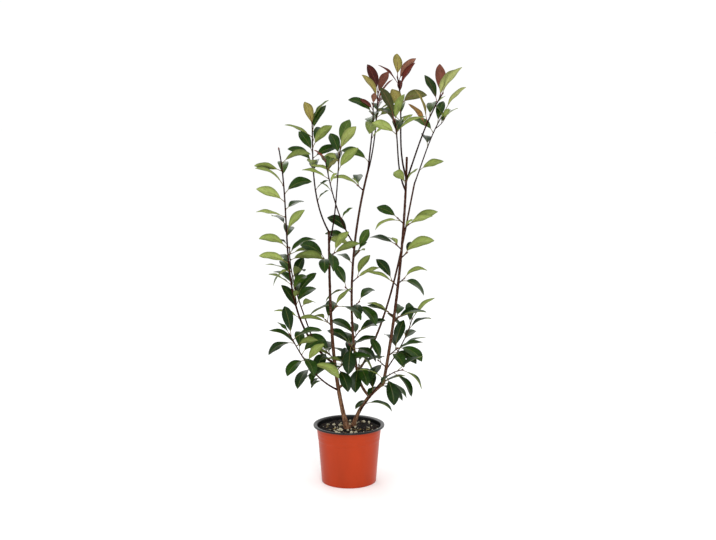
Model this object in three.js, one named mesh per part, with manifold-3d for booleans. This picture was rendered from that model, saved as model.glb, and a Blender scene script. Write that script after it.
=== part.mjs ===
// A young Photinia 'Red Robin' in a nursery pot: two trunks, the two stems that fork from them, ten boughs
// and the leafy shoots and spurs that they carry. Millimetres, +Z up. The origin is the centre of the
// pot's flat underside.
import * as THREE from "three";
import { mergeVertices } from "three/addons/utils/BufferGeometryUtils.js";
import Module from "manifold-3d";

const wasm = await Module();
wasm.setup();

// ---- Driving sizes ----

const GAP = 0.3; // clear space between two pieces that meet

const POT = {
  height: 156,
  rimRadius: 95,
  topRadius: 86.8,
  shoulderRadius: 83,
  shoulderHeight: 118,
  neckRadius: 81.9,
  neckHeight: 112,
  baseRadius: 73,
  wall: 1.6,
  floor: 2.4,
  lipHeight: 4.6,
  sides: 32,
  drains: 8,
  drainRadius: 5,
  drainCircle: 52,
  notches: 8,
  notchRadius: 9,
  notchHeight: 1.8,
  pegSides: 8,
};

// The rolled lip's section: how far in from the rim's edge and how far below its top each point lies.
const LIP = [
  [3, 4.3],
  [0.9, 5],
  [0, 3.7],
  [0, 1.8],
  [1.2, 0.3],
  [3.2, 0],
  [6.2, 0.9],
];
const LIP_INNER_DROP = 2.6; // how far below its top the lip meets the wall's inner face

const SOIL_TOP = 149; // flat top of the potting mix, 7 mm under the rim

const LEAF = {
  petioleShare: 0.17, // of the whole leaf's length
  petioleWidth: 2.2,
  thickness: 1.8,
  fold: 15, // degrees that each half of the blade rises from the midrib
  twist: 36, // degrees that a leaf marked by a capital is turned about its midrib
  even: 0.01, // an hour on an axis counts as this far right of it and in front of it
  stalkTop: 0.7, // height of a stalk's flat top, as a share of half its width
};

// A blade's width at some shares of the leaf's length, as shares of its greatest width.
const BLADE = [
  [0.4, 0.84],
  [0.74, 0.96],
];
const SMALL_BLADE = [[0.58, 1]];

// How a leaf stands: the pitch at which it leaves the stem and the pitch at its tip, in degrees, and its
// sizes. The length takes in the petiole.
const POSTURES = {
  e: { rise: 78, end: 48, length: 84, width: 26, blade: BLADE }, // erect
  u: { rise: 70, end: 32, length: 83, width: 27, blade: BLADE }, // held up
  a: { rise: 58, end: -8, length: 86, width: 28, blade: BLADE }, // arching over
  l: { rise: 36, end: 0, length: 80, width: 26, blade: BLADE }, // level
  d: { rise: 12, end: -62, length: 83, width: 32, blade: BLADE }, // hanging
  h: { rise: -20, end: -78, length: 82, width: 34, blade: BLADE }, // drooping
  s: { rise: 62, end: 24, length: 43, width: 14, blade: SMALL_BLADE }, // young and small
  n: { rise: 10, end: -50, length: 43, width: 17, blade: SMALL_BLADE }, // small and hanging
};

const JITTER = { hour: 0.25, pitch: 8, roll: 22, size: 0.1 };
const TURNS = [0, 0.5, -0.5, 1, -1, 1.6, -1.6]; // hours that a leaf is turned by to find room

// A side twig of small leaves: its leaves' places along it, and their hours from its own.
const TWIG = {
  length: 40,
  lean: 42,
  leaves: 57, // lean at its foot
  arrives: 22, // lean at its tip
  radius: [1.3, 0.9],
  sides: 3,
  places: [0.5, 0.8, 1],
  hours: [-2.2, 2.2, 0],
};
const SPUR = { reach: 15, lean: 48, radius: [1.6, 1.3] };

// The first leaf and the last stand this share of a gap between leaves from the ends of a shoot.
const NODES = { before: 0.7, after: 0.3 };
const SEED = 7919;

const LIMB = {
  trunkSides: 8,
  boughSides: 6,
  shootSides: 4,
  spurSides: 3,
  step: 55, // length of one faceted stretch
  taper: 0.65, // below 1, a limb narrows faster near its foot
  flare: 0.55, // extra radius where a stem leaves the ground
  flareReach: 14,
  collar: 0.25, // extra radius where a bough leaves its parent
  collarReach: 7,
};

// ---- The plant's plan ----
// Directions are hours of a clock seen from above: 3 is +X, 6 is -Y, 9 is -X and 12 is +Y.
// leaves and arrives give the hour and the lean from upright, in degrees, at a limb's foot and tip.
// at is the share of its parent's route where a limb begins, and bare the share of its own without leaves.
// foliage lists the nodes of a shoot from foot to tip. Each leaf is an hour and a posture, with a
// capital where the blade is turned about its midrib. A dash is a node whose leaf has dropped, and t
// is a side twig of small leaves.

const TRUNKS = [
  {
    name: "trunk_left", foot: [-5, -20], tip: [-52, 0, 672],
    leaves: [9.2, 15], arrives: [11.3, 2], radius: [6.4, 2.9],
  },
  {
    name: "trunk_right", foot: [11, 0], tip: [151, 2, 867],
    leaves: [3, 16], arrives: [3, 1], radius: [5.3, 2.9],
    knee: { at: [92, 6, 264], share: 0.2, arrives: [3, 55], leaves: [3, 10] },
  },
];

// Stems that fork from a trunk near the ground.
const FORKS = [
  {
    name: "stem_middle", from: "trunk_right", at: 0.13, tip: [51, 80, 828],
    leaves: [9.1, 50], arrives: [2.4, 15], radius: [3.9, 2.8],
    knee: { at: [15, 14, 349], share: 0.2, arrives: [10.5, 9], leaves: [10.5, 9] },
  },
  {
    name: "stem_right_back", from: "trunk_left", at: 0.212, tip: [178, 138, 790],
    leaves: [2, 66], arrives: [1.7, 15], radius: [3.4, 2.3],
    knee: { at: [42, 36, 319], share: 0.18, arrives: [2.3, 30], leaves: [2.3, 30] },
  },
];

const SHOOTS = [
  {
    name: "far_left", from: "trunk_left", at: 0.335, tip: [-173, -110, 890],
    leaves: [8.7, 55], arrives: [7.5, 14], radius: [3.4, 1.7], bare: 0.26,
    foliage: "8L 10U 12a 6s 1a 10l 11a 7D 8L 2a 9A 12a 3U 11l 9L 1l 8L 2A 9A 12a 9L 3A - -",
  },
  {
    name: "far_left_inner", from: "far_left", at: 0.13, tip: [-158, 50, 622],
    leaves: [10.6, 29], arrives: [0, 19], radius: [2.3, 1.5], bare: 0.24,
    foliage: "3l 4U 5L 12a 2U 10a 1U 5A 9l 11a 4L 3L 8s",
  },
  {
    name: "low_left", from: "trunk_left", at: 0.2, tip: [-147, -160, 430],
    leaves: [7.8, 64], arrives: [7, 40], radius: [2.6, 1.5], bare: 0.22,
    foliage: "8n 7n - 8n 6n 7d 3D 4U 7.5d 5d 2A 12a 9a 4L 8.5d 3a 11U 10s",
  },
  {
    name: "left_back", from: "trunk_left", at: 1, tip: [-98, 96, 956],
    leaves: [10.1, 35], arrives: [11.8, 19], radius: [2.3, 1.7], bare: 0.22,
    foliage: "- 3s - 3s - - 12a 6l 9.4A 2L 11U 4U 1A 9L 12u 7U 2U",
  },
  {
    name: "left_front", from: "trunk_left", at: 0.94, tip: [-22, 34, 890],
    leaves: [2.5, 16], arrives: [1, 14], radius: [2.1, 1.5], bare: 0.62,
    foliage: "- 9l 4U 12a 7L 11U 4U 1U",
  },
  {
    name: "middle_side", from: "stem_middle", at: 0.668, tip: [-57, -116, 862],
    leaves: [7.2, 46], arrives: [6.4, 38], radius: [2.2, 1.4], bare: 0,
    foliage: "- - 10A - - - 2s - - - - - 8s - 5s 9L 12a 4S 11s 9s",
  },
  {
    name: "middle_top", from: "stem_middle", at: 1, tip: [64, 60, 1000],
    leaves: [4.1, 6], arrives: [6.5, 6], radius: [2.2, 1.6], bare: 0,
    foliage: "- 9.4A - - - - 3s - 12a 6D 3s 9.4A 10S 6S",
  },
  {
    name: "middle_top_back", from: "stem_middle", at: 0.96, tip: [78, 140, 1034],
    leaves: [1.5, 24], arrives: [0.3, 15], radius: [2.1, 1.5], bare: 0.6,
    foliage: "- 10l 4L 12a 3L 1a 3U 9U 1.5E 10.5E",
  },
  {
    name: "right_front", from: "trunk_right", at: 0.885, tip: [114, -110, 964],
    leaves: [7.4, 37], arrives: [6.8, 34], radius: [2.4, 1.6], bare: 0.68,
    foliage: "- 12a 8L 4l 2s 11a 2E 10E",
  },
  {
    name: "right_top", from: "trunk_right", at: 0.93, tip: [127, 30, 1070],
    leaves: [9.5, 19], arrives: [9.8, 14], radius: [2.5, 1.7], bare: 0.46,
    foliage: "- 4S 10l 12a 7U - 4A - - 12s 3E 9u 4U 6U",
  },
  {
    name: "right_outer", from: "trunk_right", at: 0.915, tip: [234, -100, 1027],
    leaves: [4.8, 29], arrives: [4.4, 39], radius: [2.5, 1.6], bare: 0.6,
    foliage: "8U 9e - 12a - - 3s - 10E 4U 12.5e 3U",
  },
  {
    name: "right_back", from: "stem_right_back", at: 1, tip: [262, 178, 985],
    leaves: [2.4, 22], arrives: [2.6, 34], radius: [1.9, 1.4], bare: 0,
    foliage: "- - 4L - - - - 12a - - 10A 3t 1u 4s 11s 3U",
  },
  {
    name: "low_right", from: "trunk_right", at: 0.06, tip: [136, -120, 330],
    leaves: [4.2, 42], arrives: [4.3, 74], radius: [2.2, 1.4], bare: 0.1,
    foliage: "3d 8n - 12a - 4d - 9a 5h 7n 4h 2l 3h",
  },
  {
    name: "right_upright", from: "trunk_right", at: 0.25, tip: [171, 88, 423],
    leaves: [1.5, 50], arrives: [1, 34], radius: [2.0, 1.3], bare: 0,
    foliage: "- - 4L 11a 3l 1l 9u 2a 12u 3U",
  },
];

// Short spurs on the side of a stem, each with the few leaves of one height.
const SPURS = [
  { name: "left_upper_left", from: "trunk_left", at: 0.84, hour: 9, foliage: "8L 10A 6d" },
  { name: "left_upper_right", from: "trunk_left", at: 0.87, hour: 4, foliage: "3L 6D 4U" },
  { name: "left_middle_left", from: "trunk_left", at: 0.53, hour: 9.5, foliage: "9L 11a 7l" },
  { name: "left_middle_right", from: "trunk_left", at: 0.6, hour: 3, foliage: "3U 4d" },
  { name: "left_low_left", from: "trunk_left", at: 0.36, hour: 9.5, reach: 22, foliage: "9L 10A 12l 7d 6l" },
  {
    name: "left_low_right", from: "trunk_left", at: 0.3, hour: 4, reach: 28,
    foliage: "5h 3a 2A 7n 8d 9l",
  },
  {
    name: "back_low", from: "stem_right_back", at: 0.13, hour: 6, reach: 24,
    foliage: "10a 3n 7d 2l 5h 1a",
  },
  {
    name: "middle_low", from: "stem_middle", at: 0.2, hour: 7, reach: 30,
    foliage: "5h 12a 2d 10A 7h 3l 9s",
  },
  {
    name: "middle_lower_left", from: "stem_middle", at: 0.15, hour: 8.6, reach: 22,
    foliage: "9l 11a 7n",
  },
  { name: "middle_lower_right", from: "stem_middle", at: 0.391, hour: 3, reach: 20, foliage: "4d 6d 1A" },
  {
    name: "middle_lower_back", from: "stem_middle", at: 0.254, hour: 1.5, reach: 24,
    foliage: "10A 12l 2L 3l 4l",
  },
  { name: "middle_left", from: "stem_middle", at: 0.459, hour: 9, foliage: "8D 10U" },
  { name: "middle_right", from: "stem_middle", at: 0.505, hour: 3, foliage: "3L 4U" },
  { name: "middle_back", from: "stem_middle", at: 0.572, hour: 12, foliage: "11l 1a" },
  { name: "middle_upper_left", from: "stem_middle", at: 0.651, hour: 9, foliage: "8L 10A" },
  { name: "middle_upper_right", from: "stem_middle", at: 0.618, hour: 2.5, foliage: "3s 2U" },
  { name: "middle_high_left", from: "stem_middle", at: 0.91, hour: 9, foliage: "9A 8s 12l" },
  { name: "right_foot", from: "trunk_right", at: 0.17, hour: 5, reach: 22, foliage: "7n 2l 3.5d" },
  { name: "right_low_left", from: "trunk_right", at: 0.26, hour: 8.5, reach: 22, foliage: "8d 11U 6l" },
  { name: "right_low_right", from: "trunk_right", at: 0.3, hour: 4, reach: 30, foliage: "5d 2D 3l 1U 4d" },
  { name: "right_lower_left", from: "trunk_right", at: 0.44, hour: 9.5, foliage: "10L 8l" },
  { name: "right_lower_right", from: "trunk_right", at: 0.42, hour: 2, foliage: "2L 1A 4l" },
  { name: "right_middle_left", from: "trunk_right", at: 0.55, hour: 9.5, foliage: "9L 10U" },
  { name: "right_middle_right", from: "trunk_right", at: 0.56, hour: 3.5, foliage: "2D 4A" },
  { name: "right_upper_left", from: "trunk_right", at: 0.68, hour: 8.5, foliage: "9s 7s 10L" },
  { name: "right_upper_right", from: "trunk_right", at: 0.65, hour: 3, foliage: "3A 1s" },
  { name: "right_high_left", from: "trunk_right", at: 0.77, hour: 9.5, foliage: "9D 10L" },
  { name: "right_high_right", from: "trunk_right", at: 0.75, hour: 4, foliage: "5s 4L 3L" },
  { name: "right_head", from: "trunk_right", at: 0.9, hour: 6, foliage: "9s 7L 2s" },
];

// ---- Small tools ----

// The same small random sequence on every run: numbers from -1 to 1.
function randomFrom(seed) {
  let state = seed >>> 0;
  return () => {
    state = (Math.imul(state, 1664525) + 1013904223) >>> 0;
    return (state / 4294967296) * 2 - 1;
  };
}

// A direction from an hour of the clock and a lean from upright.
function heading(hour, lean) {
  const around = THREE.MathUtils.degToRad(90 - 30 * hour);
  const tilt = THREE.MathUtils.degToRad(lean);
  const level = Math.sin(tilt);
  return new THREE.Vector3(level * Math.cos(around), level * Math.sin(around), Math.cos(tilt));
}

// One closed skin over rings of points. A ring of one point is a tip; a wider ring at an end is capped.
function loft(rings) {
  const points = rings.flat();
  const starts = rings.map((_, i) => rings.slice(0, i).reduce((sum, ring) => sum + ring.length, 0));
  const faces = [];
  for (let i = 0; i + 1 < rings.length; i += 1) {
    const [low, high] = [rings[i], rings[i + 1]];
    const sides = Math.max(low.length, high.length);
    for (let k = 0; k < sides; k += 1) {
      const next = (k + 1) % sides;
      const a = starts[i] + (k % low.length);
      const b = starts[i] + (next % low.length);
      const c = starts[i + 1] + (next % high.length);
      const d = starts[i + 1] + (k % high.length);
      if (a !== b) faces.push([a, b, c]);
      if (c !== d) faces.push([a, c, d]);
    }
  }
  const last = rings.length - 1;
  for (let k = 1; k + 1 < rings[0].length; k += 1) {
    faces.push([starts[0], starts[0] + k + 1, starts[0] + k]);
  }
  for (let k = 1; k + 1 < rings[last].length; k += 1) {
    faces.push([starts[last], starts[last] + k, starts[last] + k + 1]);
  }
  const geometry = new THREE.BufferGeometry().setFromPoints(points);
  geometry.setIndex(faces.flat());
  return geometry;
}

function solidOf(geometry) {
  geometry.deleteAttribute("normal");
  geometry.deleteAttribute("uv");
  const merged = mergeVertices(geometry, 1e-4);
  const position = merged.attributes.position.array;
  const corners = merged.index.array;
  const kept = [];
  let volume = 0;
  for (let i = 0; i < corners.length; i += 3) {
    const [a, b, c] = [corners[i], corners[i + 1], corners[i + 2]];
    if (a === b || b === c || c === a) continue;
    kept.push(a, b, c);
    const [p, q, r] = [a, b, c].map((n) => new THREE.Vector3().fromArray(position, 3 * n));
    volume += p.dot(q.cross(r));
  }
  if (volume < 0) kept.reverse();
  const mesh = new wasm.Mesh({
    numProp: 3,
    vertProperties: Float32Array.from(position),
    triVerts: Uint32Array.from(kept),
  });
  mesh.merge();
  return new wasm.Manifold(mesh);
}

function geometryOf(solid) {
  const mesh = solid.getMesh();
  const geometry = new THREE.BufferGeometry();
  geometry.setAttribute("position", new THREE.BufferAttribute(Float32Array.from(mesh.vertProperties), 3));
  geometry.setIndex(new THREE.BufferAttribute(Uint32Array.from(mesh.triVerts), 1));
  geometry.computeVertexNormals();
  return geometry;
}

// The largest single body of a solid, which leaves out loose scraps and the skins of sealed hollows.
function mainBody(solid) {
  return solid.decompose().reduce((best, body) => (body.volume() > best.volume() ? body : best));
}

function boxesMeet(a, b) {
  return [0, 1, 2].every((i) => a.min[i] < b.max[i] && b.min[i] < a.max[i]);
}

function touches(solid, others) {
  const box = solid.boundingBox();
  return others.some((other) => boxesMeet(box, other.boundingBox()) && !solid.intersect(other).isEmpty());
}

// ---- Limbs ----

function bend(from, to, leaves, arrives) {
  const third = from.distanceTo(to) / 3;
  const out = from.clone().addScaledVector(heading(...leaves), third);
  const back = to.clone().addScaledVector(heading(...arrives), -third);
  return new THREE.CubicBezierCurve3(from, out, back, to);
}

// The centre line of a limb as one or two bends, a bend on each side of its knee.
function routeOf(limb, foot) {
  const tip = new THREE.Vector3(...limb.tip);
  if (!limb.knee) return { bends: [bend(foot, tip, limb.leaves, limb.arrives)], share: 1 };
  const knee = new THREE.Vector3(...limb.knee.at);
  const lower = bend(foot, knee, limb.leaves, limb.knee.arrives);
  return { bends: [lower, bend(knee, tip, limb.knee.leaves, limb.arrives)], share: limb.knee.share };
}

function onRoute(route, t, what) {
  const { bends, share } = route;
  if (t <= share) return bends[0][what](Math.min(t / share, 1));
  return bends[1][what]((t - share) / (1 - share));
}

const pointOn = (route, t) => onRoute(route, t, "getPoint");
const tangentOn = (route, t) => onRoute(route, t, "getTangent");

function lengthOf(route) {
  return route.bends.reduce((sum, piece) => sum + piece.getLength(), 0);
}

function ringAt(centre, along, radius, sides) {
  const across = new THREE.Vector3(0, 1, 0).cross(along).normalize();
  const up = along.clone().cross(across);
  return Array.from({ length: sides }, (_, k) => {
    const turn = (2 * Math.PI * k) / sides;
    return centre
      .clone()
      .addScaledVector(across, radius * Math.cos(turn))
      .addScaledVector(up, radius * Math.sin(turn));
  });
}

function radiusAt(limb, t) {
  const [foot, tip] = limb.radius;
  const run = t * limb.length;
  const swell = limb.rooted ? LIMB.flare : LIMB.collar;
  const reach = limb.rooted ? LIMB.flareReach : LIMB.collarReach;
  return (foot + (tip - foot) * t ** LIMB.taper) * (1 + swell * Math.exp(-run / reach));
}

// The wood of a limb from share t0 to share t1 of its route, swollen by some clear space if asked.
function woodOf(limb, t0, t1, sides, swell = 0) {
  const steps = Math.max(2, Math.round(((t1 - t0) * limb.length) / LIMB.step));
  const shares = Array.from({ length: steps + 1 }, (_, i) => t0 + ((t1 - t0) * i) / steps);
  if (limb.rooted && t0 === 0) shares.splice(1, 0, LIMB.flareReach / limb.length);
  const rings = shares.map((t) => {
    const along = t === 0 && limb.footFaces ? limb.footFaces : tangentOn(limb.route, t);
    return ringAt(pointOn(limb.route, t), along, radiusAt(limb, t) + swell, sides);
  });
  return solidOf(loft(rings));
}

// ---- Leaves ----

// The place and pitch at a share of a leaf's length, along an arc in the upright plane of its hour.
function onLeaf(leaf, share) {
  const turn = leaf.end - leaf.rise;
  const pitch = leaf.rise + turn * share;
  const out = ((Math.sin(pitch) - Math.sin(leaf.rise)) * leaf.length) / turn;
  const up = ((Math.cos(leaf.rise) - Math.cos(pitch)) * leaf.length) / turn;
  const level = heading(leaf.hour, 90);
  const centre = leaf.root.clone().addScaledVector(level, out);
  centre.z += up;
  const normal = level.clone().multiplyScalar(-Math.sin(pitch));
  normal.z = Math.cos(pitch);
  const side = new THREE.Vector3(0, 0, 1).cross(level).normalize();
  const [cos, sin] = [Math.cos(leaf.roll), Math.sin(leaf.roll)];
  const rolled = side.clone().multiplyScalar(cos).addScaledVector(normal, sin);
  const facing = normal.clone().multiplyScalar(cos).addScaledVector(side, -sin);
  return { centre, side: rolled, facing };
}

// Four points round a blade: one edge, the midrib's upper face, the other edge and its lower face.
function bladeRing(leaf, share, halfWidth, swell) {
  const { centre, side, facing } = onLeaf(leaf, share);
  const lift = THREE.MathUtils.degToRad(LEAF.fold);
  const reach = halfWidth + swell;
  const half = LEAF.thickness / 2 + swell;
  const at = (across, above) => centre.clone().addScaledVector(side, across).addScaledVector(facing, above);
  const [out, up] = [reach * Math.cos(lift), reach * Math.sin(lift)];
  return [at(out, up), at(0, half), at(-out, up), at(0, -half)];
}

// A three-sided stalk, flat on top. Its first corner counts twice, so that it meets the blade's four.
function stalkRing(leaf, share, swell) {
  const { centre, side, facing } = onLeaf(leaf, share);
  const half = LEAF.petioleWidth / 2 + swell;
  const top = half * LEAF.stalkTop;
  const at = (across, above) => centre.clone().addScaledVector(side, across).addScaledVector(facing, above);
  return [at(half, top), at(half, top), at(-half, top), at(0, -half)];
}

// A leaf from share t0 of its length to its tip.
function leafSolid(leaf, t0 = 0, swell = 0) {
  const rings = [stalkRing(leaf, LEAF.petioleShare, swell)];
  if (t0 < LEAF.petioleShare) rings.unshift(stalkRing(leaf, t0, swell));
  for (const [share, width] of leaf.blade) {
    rings.push(bladeRing(leaf, share, (width * leaf.width) / 2, swell));
  }
  rings.push([onLeaf(leaf, 1).centre]);
  return solidOf(loft(rings));
}

// The leaf of an hour and a posture, with the seeded differences that no two leaves share.
function leafFrom(hour, letter, root, random) {
  const posture = POSTURES[letter.toLowerCase()];
  const turned = hour + JITTER.hour * random();
  const tilt = JITTER.pitch * random();
  const roll = JITTER.roll * random();
  const size = 1 + JITTER.size * random();
  const level = heading(hour, 90);
  const sense = Math.sign((level.x + LEAF.even) * (level.y - LEAF.even));
  const twist = letter === letter.toUpperCase() ? LEAF.twist * sense : 0;
  return {
    root,
    hour: turned,
    rise: THREE.MathUtils.degToRad(posture.rise + tilt),
    end: THREE.MathUtils.degToRad(posture.end + tilt),
    roll: THREE.MathUtils.degToRad(roll + twist),
    length: posture.length * size,
    width: posture.width * size,
    blade: posture.blade,
  };
}

// ---- Growing ----

const limbs = new Map();
const woods = new Map(); // every node of bare wood, by name
const masses = []; // every leafy shoot: its wood, and then its leaves

function rootTrunk(plan) {
  const foot = new THREE.Vector3(...plan.foot, SOIL_TOP + GAP);
  const route = routeOf(plan, foot);
  const footFaces = new THREE.Vector3(0, 0, 1);
  const limb = { ...plan, route, rooted: true, footFaces, length: lengthOf(route) };
  limbs.set(plan.name, limb);
  woods.set(plan.name, woodOf(limb, 0, 1, LIMB.trunkSides));
}

// A limb that begins on its parent's centre line, or just past its tip.
function branch(plan) {
  const parent = limbs.get(plan.from);
  const foot = pointOn(parent.route, plan.at);
  const footFaces = plan.at === 1 ? tangentOn(parent.route, 1) : null;
  if (footFaces) foot.addScaledVector(footFaces, GAP);
  const route = routeOf(plan, foot);
  const limb = { ...plan, route, rooted: false, footFaces, length: lengthOf(route) };
  limbs.set(plan.name, limb);
  return limb;
}

// Wood that begins inside its parent, cut clear of the parent's bark.
function clearOfParent(solid, plan) {
  if (plan.at === 1) return solid;
  return mainBody(solid.subtract(woodOf(limbs.get(plan.from), 0, 1, LIMB.trunkSides, 2 * GAP)));
}

function forkStem(plan) {
  const limb = branch(plan);
  woods.set(plan.name, clearOfParent(woodOf(limb, 0, 1, LIMB.trunkSides), plan));
}

// A bough of bare wood, where the plan has one, and the leafy shoot that carries it on.
function growShoot(plan) {
  const limb = branch(plan);
  if (plan.bare > 0) {
    woods.set(`bough_${plan.name}`, clearOfParent(woodOf(limb, 0, plan.bare, LIMB.boughSides), plan));
  }
  const start = plan.bare > 0 ? plan.bare + GAP / limb.length : 0;
  const wood = woodOf(limb, start, 1, LIMB.shootSides);
  masses.push({ plan, limb, start, wood: plan.bare > 0 ? wood : clearOfParent(wood, plan), leaves: [] });
}

function growSpur(spur) {
  const parent = limbs.get(spur.from);
  const foot = pointOn(parent.route, spur.at);
  const reach = spur.reach ?? SPUR.reach;
  const inside = radiusAt(parent, spur.at) / Math.sin(THREE.MathUtils.degToRad(SPUR.lean));
  const tip = foot.clone().addScaledVector(heading(spur.hour, SPUR.lean), inside + reach);
  const course = [spur.hour, SPUR.lean];
  const plan = { ...spur, tip: tip.toArray(), leaves: course, arrives: course, radius: SPUR.radius };
  const limb = branch(plan);
  const wood = clearOfParent(woodOf(limb, 0, 1, LIMB.spurSides), plan);
  masses.push({ plan, limb, start: 1 - reach / limb.length, wood, leaves: [] });
}

// The first of the turned copies of a leaf that has room, or nothing.
function roomFor(leaf, own, others) {
  for (const turn of TURNS) {
    const moved = { ...leaf, hour: leaf.hour + turn };
    const clear = !touches(leafSolid(moved, 0, GAP), others);
    if (clear && !touches(leafSolid(moved, LEAF.petioleShare, GAP), own)) return leafSolid(moved);
  }
  return null;
}

function twigFrom(hour, root) {
  const tip = root.clone().addScaledVector(heading(hour, TWIG.lean), TWIG.length).toArray();
  const route = routeOf({ tip, leaves: [hour, TWIG.leaves], arrives: [hour, TWIG.arrives] }, root);
  return { route, radius: TWIG.radius, rooted: false, length: lengthOf(route) };
}

function growLeaves(mass, number) {
  const random = randomFrom(SEED * (number + 1));
  const marks = mass.plan.foliage.split(" ");
  const rest = masses.filter((other) => other !== mass);
  const others = [...woods.values(), ...rest.flatMap((other) => [other.wood, ...other.leaves])];
  const addLeaf = (hour, letter, root) => {
    const solid = roomFor(leafFrom(hour, letter, root, random), [mass.wood, ...mass.leaves], others);
    if (solid) mass.leaves.push(solid);
  };
  marks.forEach((mark, i) => {
    if (mark === "-") return;
    const hour = Number(mark.slice(0, -1));
    const letter = mark.at(-1);
    const place = (i + NODES.before) / (marks.length - NODES.after);
    const root = pointOn(mass.limb.route, mass.start + (1 - mass.start) * place);
    if (letter !== "t") {
      addLeaf(hour, letter, root);
      return;
    }
    const twig = twigFrom(hour, root);
    const wood = woodOf(twig, 0, 1, TWIG.sides);
    if (touches(wood, others)) return;
    mass.leaves.push(wood);
    TWIG.places.forEach((place, k) => addLeaf(hour + TWIG.hours[k], "s", pointOn(twig.route, place)));
  });
}

// ---- Pot and potting mix ----

function turned(profile) {
  const points = profile.map(([radius, height]) => new THREE.Vector2(radius, height));
  return solidOf(new THREE.LatheGeometry(points, POT.sides).rotateX(Math.PI / 2));
}

// The pot wall's radius and height from foot to rim, moved inwards by some depth.
function wallLine(depth) {
  return [
    [POT.baseRadius - depth, 0],
    [POT.neckRadius - depth, POT.neckHeight],
    [POT.shoulderRadius - depth, POT.shoulderHeight],
    [POT.topRadius - depth, POT.height - POT.lipHeight],
  ];
}

// Upright pegs in a circle, to cut from the pot to some depth. The first stands phase steps past +X.
function pegsRound(count, circle, radius, depth, phase) {
  return Array.from({ length: count }, (_, k) => {
    const turn = (2 * Math.PI * (k + phase)) / count;
    const peg = new THREE.CylinderGeometry(radius, radius, 2 * depth, POT.pegSides).rotateX(Math.PI / 2);
    return solidOf(peg.translate(circle * Math.cos(turn), circle * Math.sin(turn), 0));
  });
}

function potShell() {
  const outside = wallLine(0);
  const inside = wallLine(POT.wall).slice(1).reverse();
  const floorRadius = POT.baseRadius - POT.wall;
  const body = turned([[0, 0], ...outside, ...inside, [floorRadius, POT.floor], [0, POT.floor]]);
  const drains = pegsRound(POT.drains, POT.drainCircle, POT.drainRadius, 2 * POT.floor, 0);
  const notchCircle = POT.baseRadius + POT.notchRadius - POT.wall / 2;
  const notches = pegsRound(POT.notches, notchCircle, POT.notchRadius, POT.notchHeight, 0.5);
  return body.subtract(wasm.Manifold.union([...drains, ...notches]));
}

function potRim() {
  const inner = POT.topRadius - POT.wall;
  const low = POT.height - POT.lipHeight + GAP;
  const section = LIP.map(([inwards, down]) => [POT.rimRadius - inwards, POT.height - down]);
  return turned([[inner, low], ...section, [inner, POT.height - LIP_INNER_DROP], [inner, low]]);
}

// Potting mix that fills the pot, clear of its wall and floor.
function pottingMix() {
  const inset = POT.wall + 2 * GAP;
  const top = POT.height - POT.lipHeight;
  const { mapLinear } = THREE.MathUtils;
  const rim = mapLinear(SOIL_TOP, POT.shoulderHeight, top, POT.shoulderRadius, POT.topRadius) - inset;
  const low = POT.floor + GAP;
  const side = wallLine(inset).slice(1, 3);
  return turned([[0, low], [POT.baseRadius - inset, low], ...side, [rim, SOIL_TOP], [0, SOIL_TOP]]);
}

// ---- Assembly ----

const FINISH = {
  terracotta: { color: 0xb54a2d, roughness: 0.55, metalness: 0 },
  black: { color: 0x1c1b1b, roughness: 0.5, metalness: 0 },
  compost: { color: 0x2e241c, roughness: 0.95, metalness: 0 },
  bark: { color: 0x6b5038, roughness: 0.8, metalness: 0 },
  youngBark: { color: 0x52382e, roughness: 0.7, metalness: 0 },
  leaf: { color: 0x3f6a2c, roughness: 0.35, metalness: 0 },
};

const plant = new THREE.Group();
plant.name = "photinia_in_pot";

function addMesh(name, solid, finish) {
  const mesh = new THREE.Mesh(geometryOf(solid), new THREE.MeshStandardMaterial(FINISH[finish]));
  mesh.name = name;
  plant.add(mesh);
}

TRUNKS.forEach(rootTrunk);
FORKS.forEach(forkStem);
SHOOTS.forEach(growShoot);
SPURS.forEach(growSpur);
masses.forEach(growLeaves);

addMesh("pot_shell", potShell(), "terracotta");
addMesh("pot_rim", potRim(), "black");
addMesh("potting_mix", pottingMix(), "compost");
woods.forEach((solid, name) => addMesh(name, solid, name.startsWith("bough") ? "youngBark" : "bark"));
masses.forEach((mass) => {
  const body = mainBody(wasm.Manifold.union([mass.wood, ...mass.leaves]));
  addMesh(`foliage_${mass.plan.name}`, body, "leaf");
});

export default plant;
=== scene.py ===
"""A young Photinia 'Red Robin' in its nursery pot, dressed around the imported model.

The limbs and leaves grow here by the same rule as the solids that they replace, from the same plan, and go on
to finer things: toothed blades with a midrib and veins, buds, bark that swells at each node, loose compost.
The plan is in millimetres. MM turns a length into metres where a mesh is made.
"""
import math
import random
import re
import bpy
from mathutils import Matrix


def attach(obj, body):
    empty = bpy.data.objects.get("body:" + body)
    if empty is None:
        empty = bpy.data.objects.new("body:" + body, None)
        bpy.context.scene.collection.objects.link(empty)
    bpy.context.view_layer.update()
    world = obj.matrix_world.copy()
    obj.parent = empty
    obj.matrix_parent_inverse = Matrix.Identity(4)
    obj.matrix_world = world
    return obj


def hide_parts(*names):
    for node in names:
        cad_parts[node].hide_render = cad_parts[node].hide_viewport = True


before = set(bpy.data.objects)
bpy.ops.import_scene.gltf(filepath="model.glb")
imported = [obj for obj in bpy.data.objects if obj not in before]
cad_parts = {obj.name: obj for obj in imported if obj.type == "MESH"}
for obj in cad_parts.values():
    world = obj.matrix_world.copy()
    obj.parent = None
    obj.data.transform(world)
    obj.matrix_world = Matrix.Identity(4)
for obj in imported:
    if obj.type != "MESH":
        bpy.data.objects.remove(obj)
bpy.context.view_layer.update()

from types import SimpleNamespace as Sizes

import bmesh
import bpy
import numpy as np
from mathutils import Euler, Vector, noise
from mathutils.kdtree import KDTree

MM = 0.001
UP = np.array([0.0, 0.0, 1.0])

# ---- Driving sizes, as in the part's source ----

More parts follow.
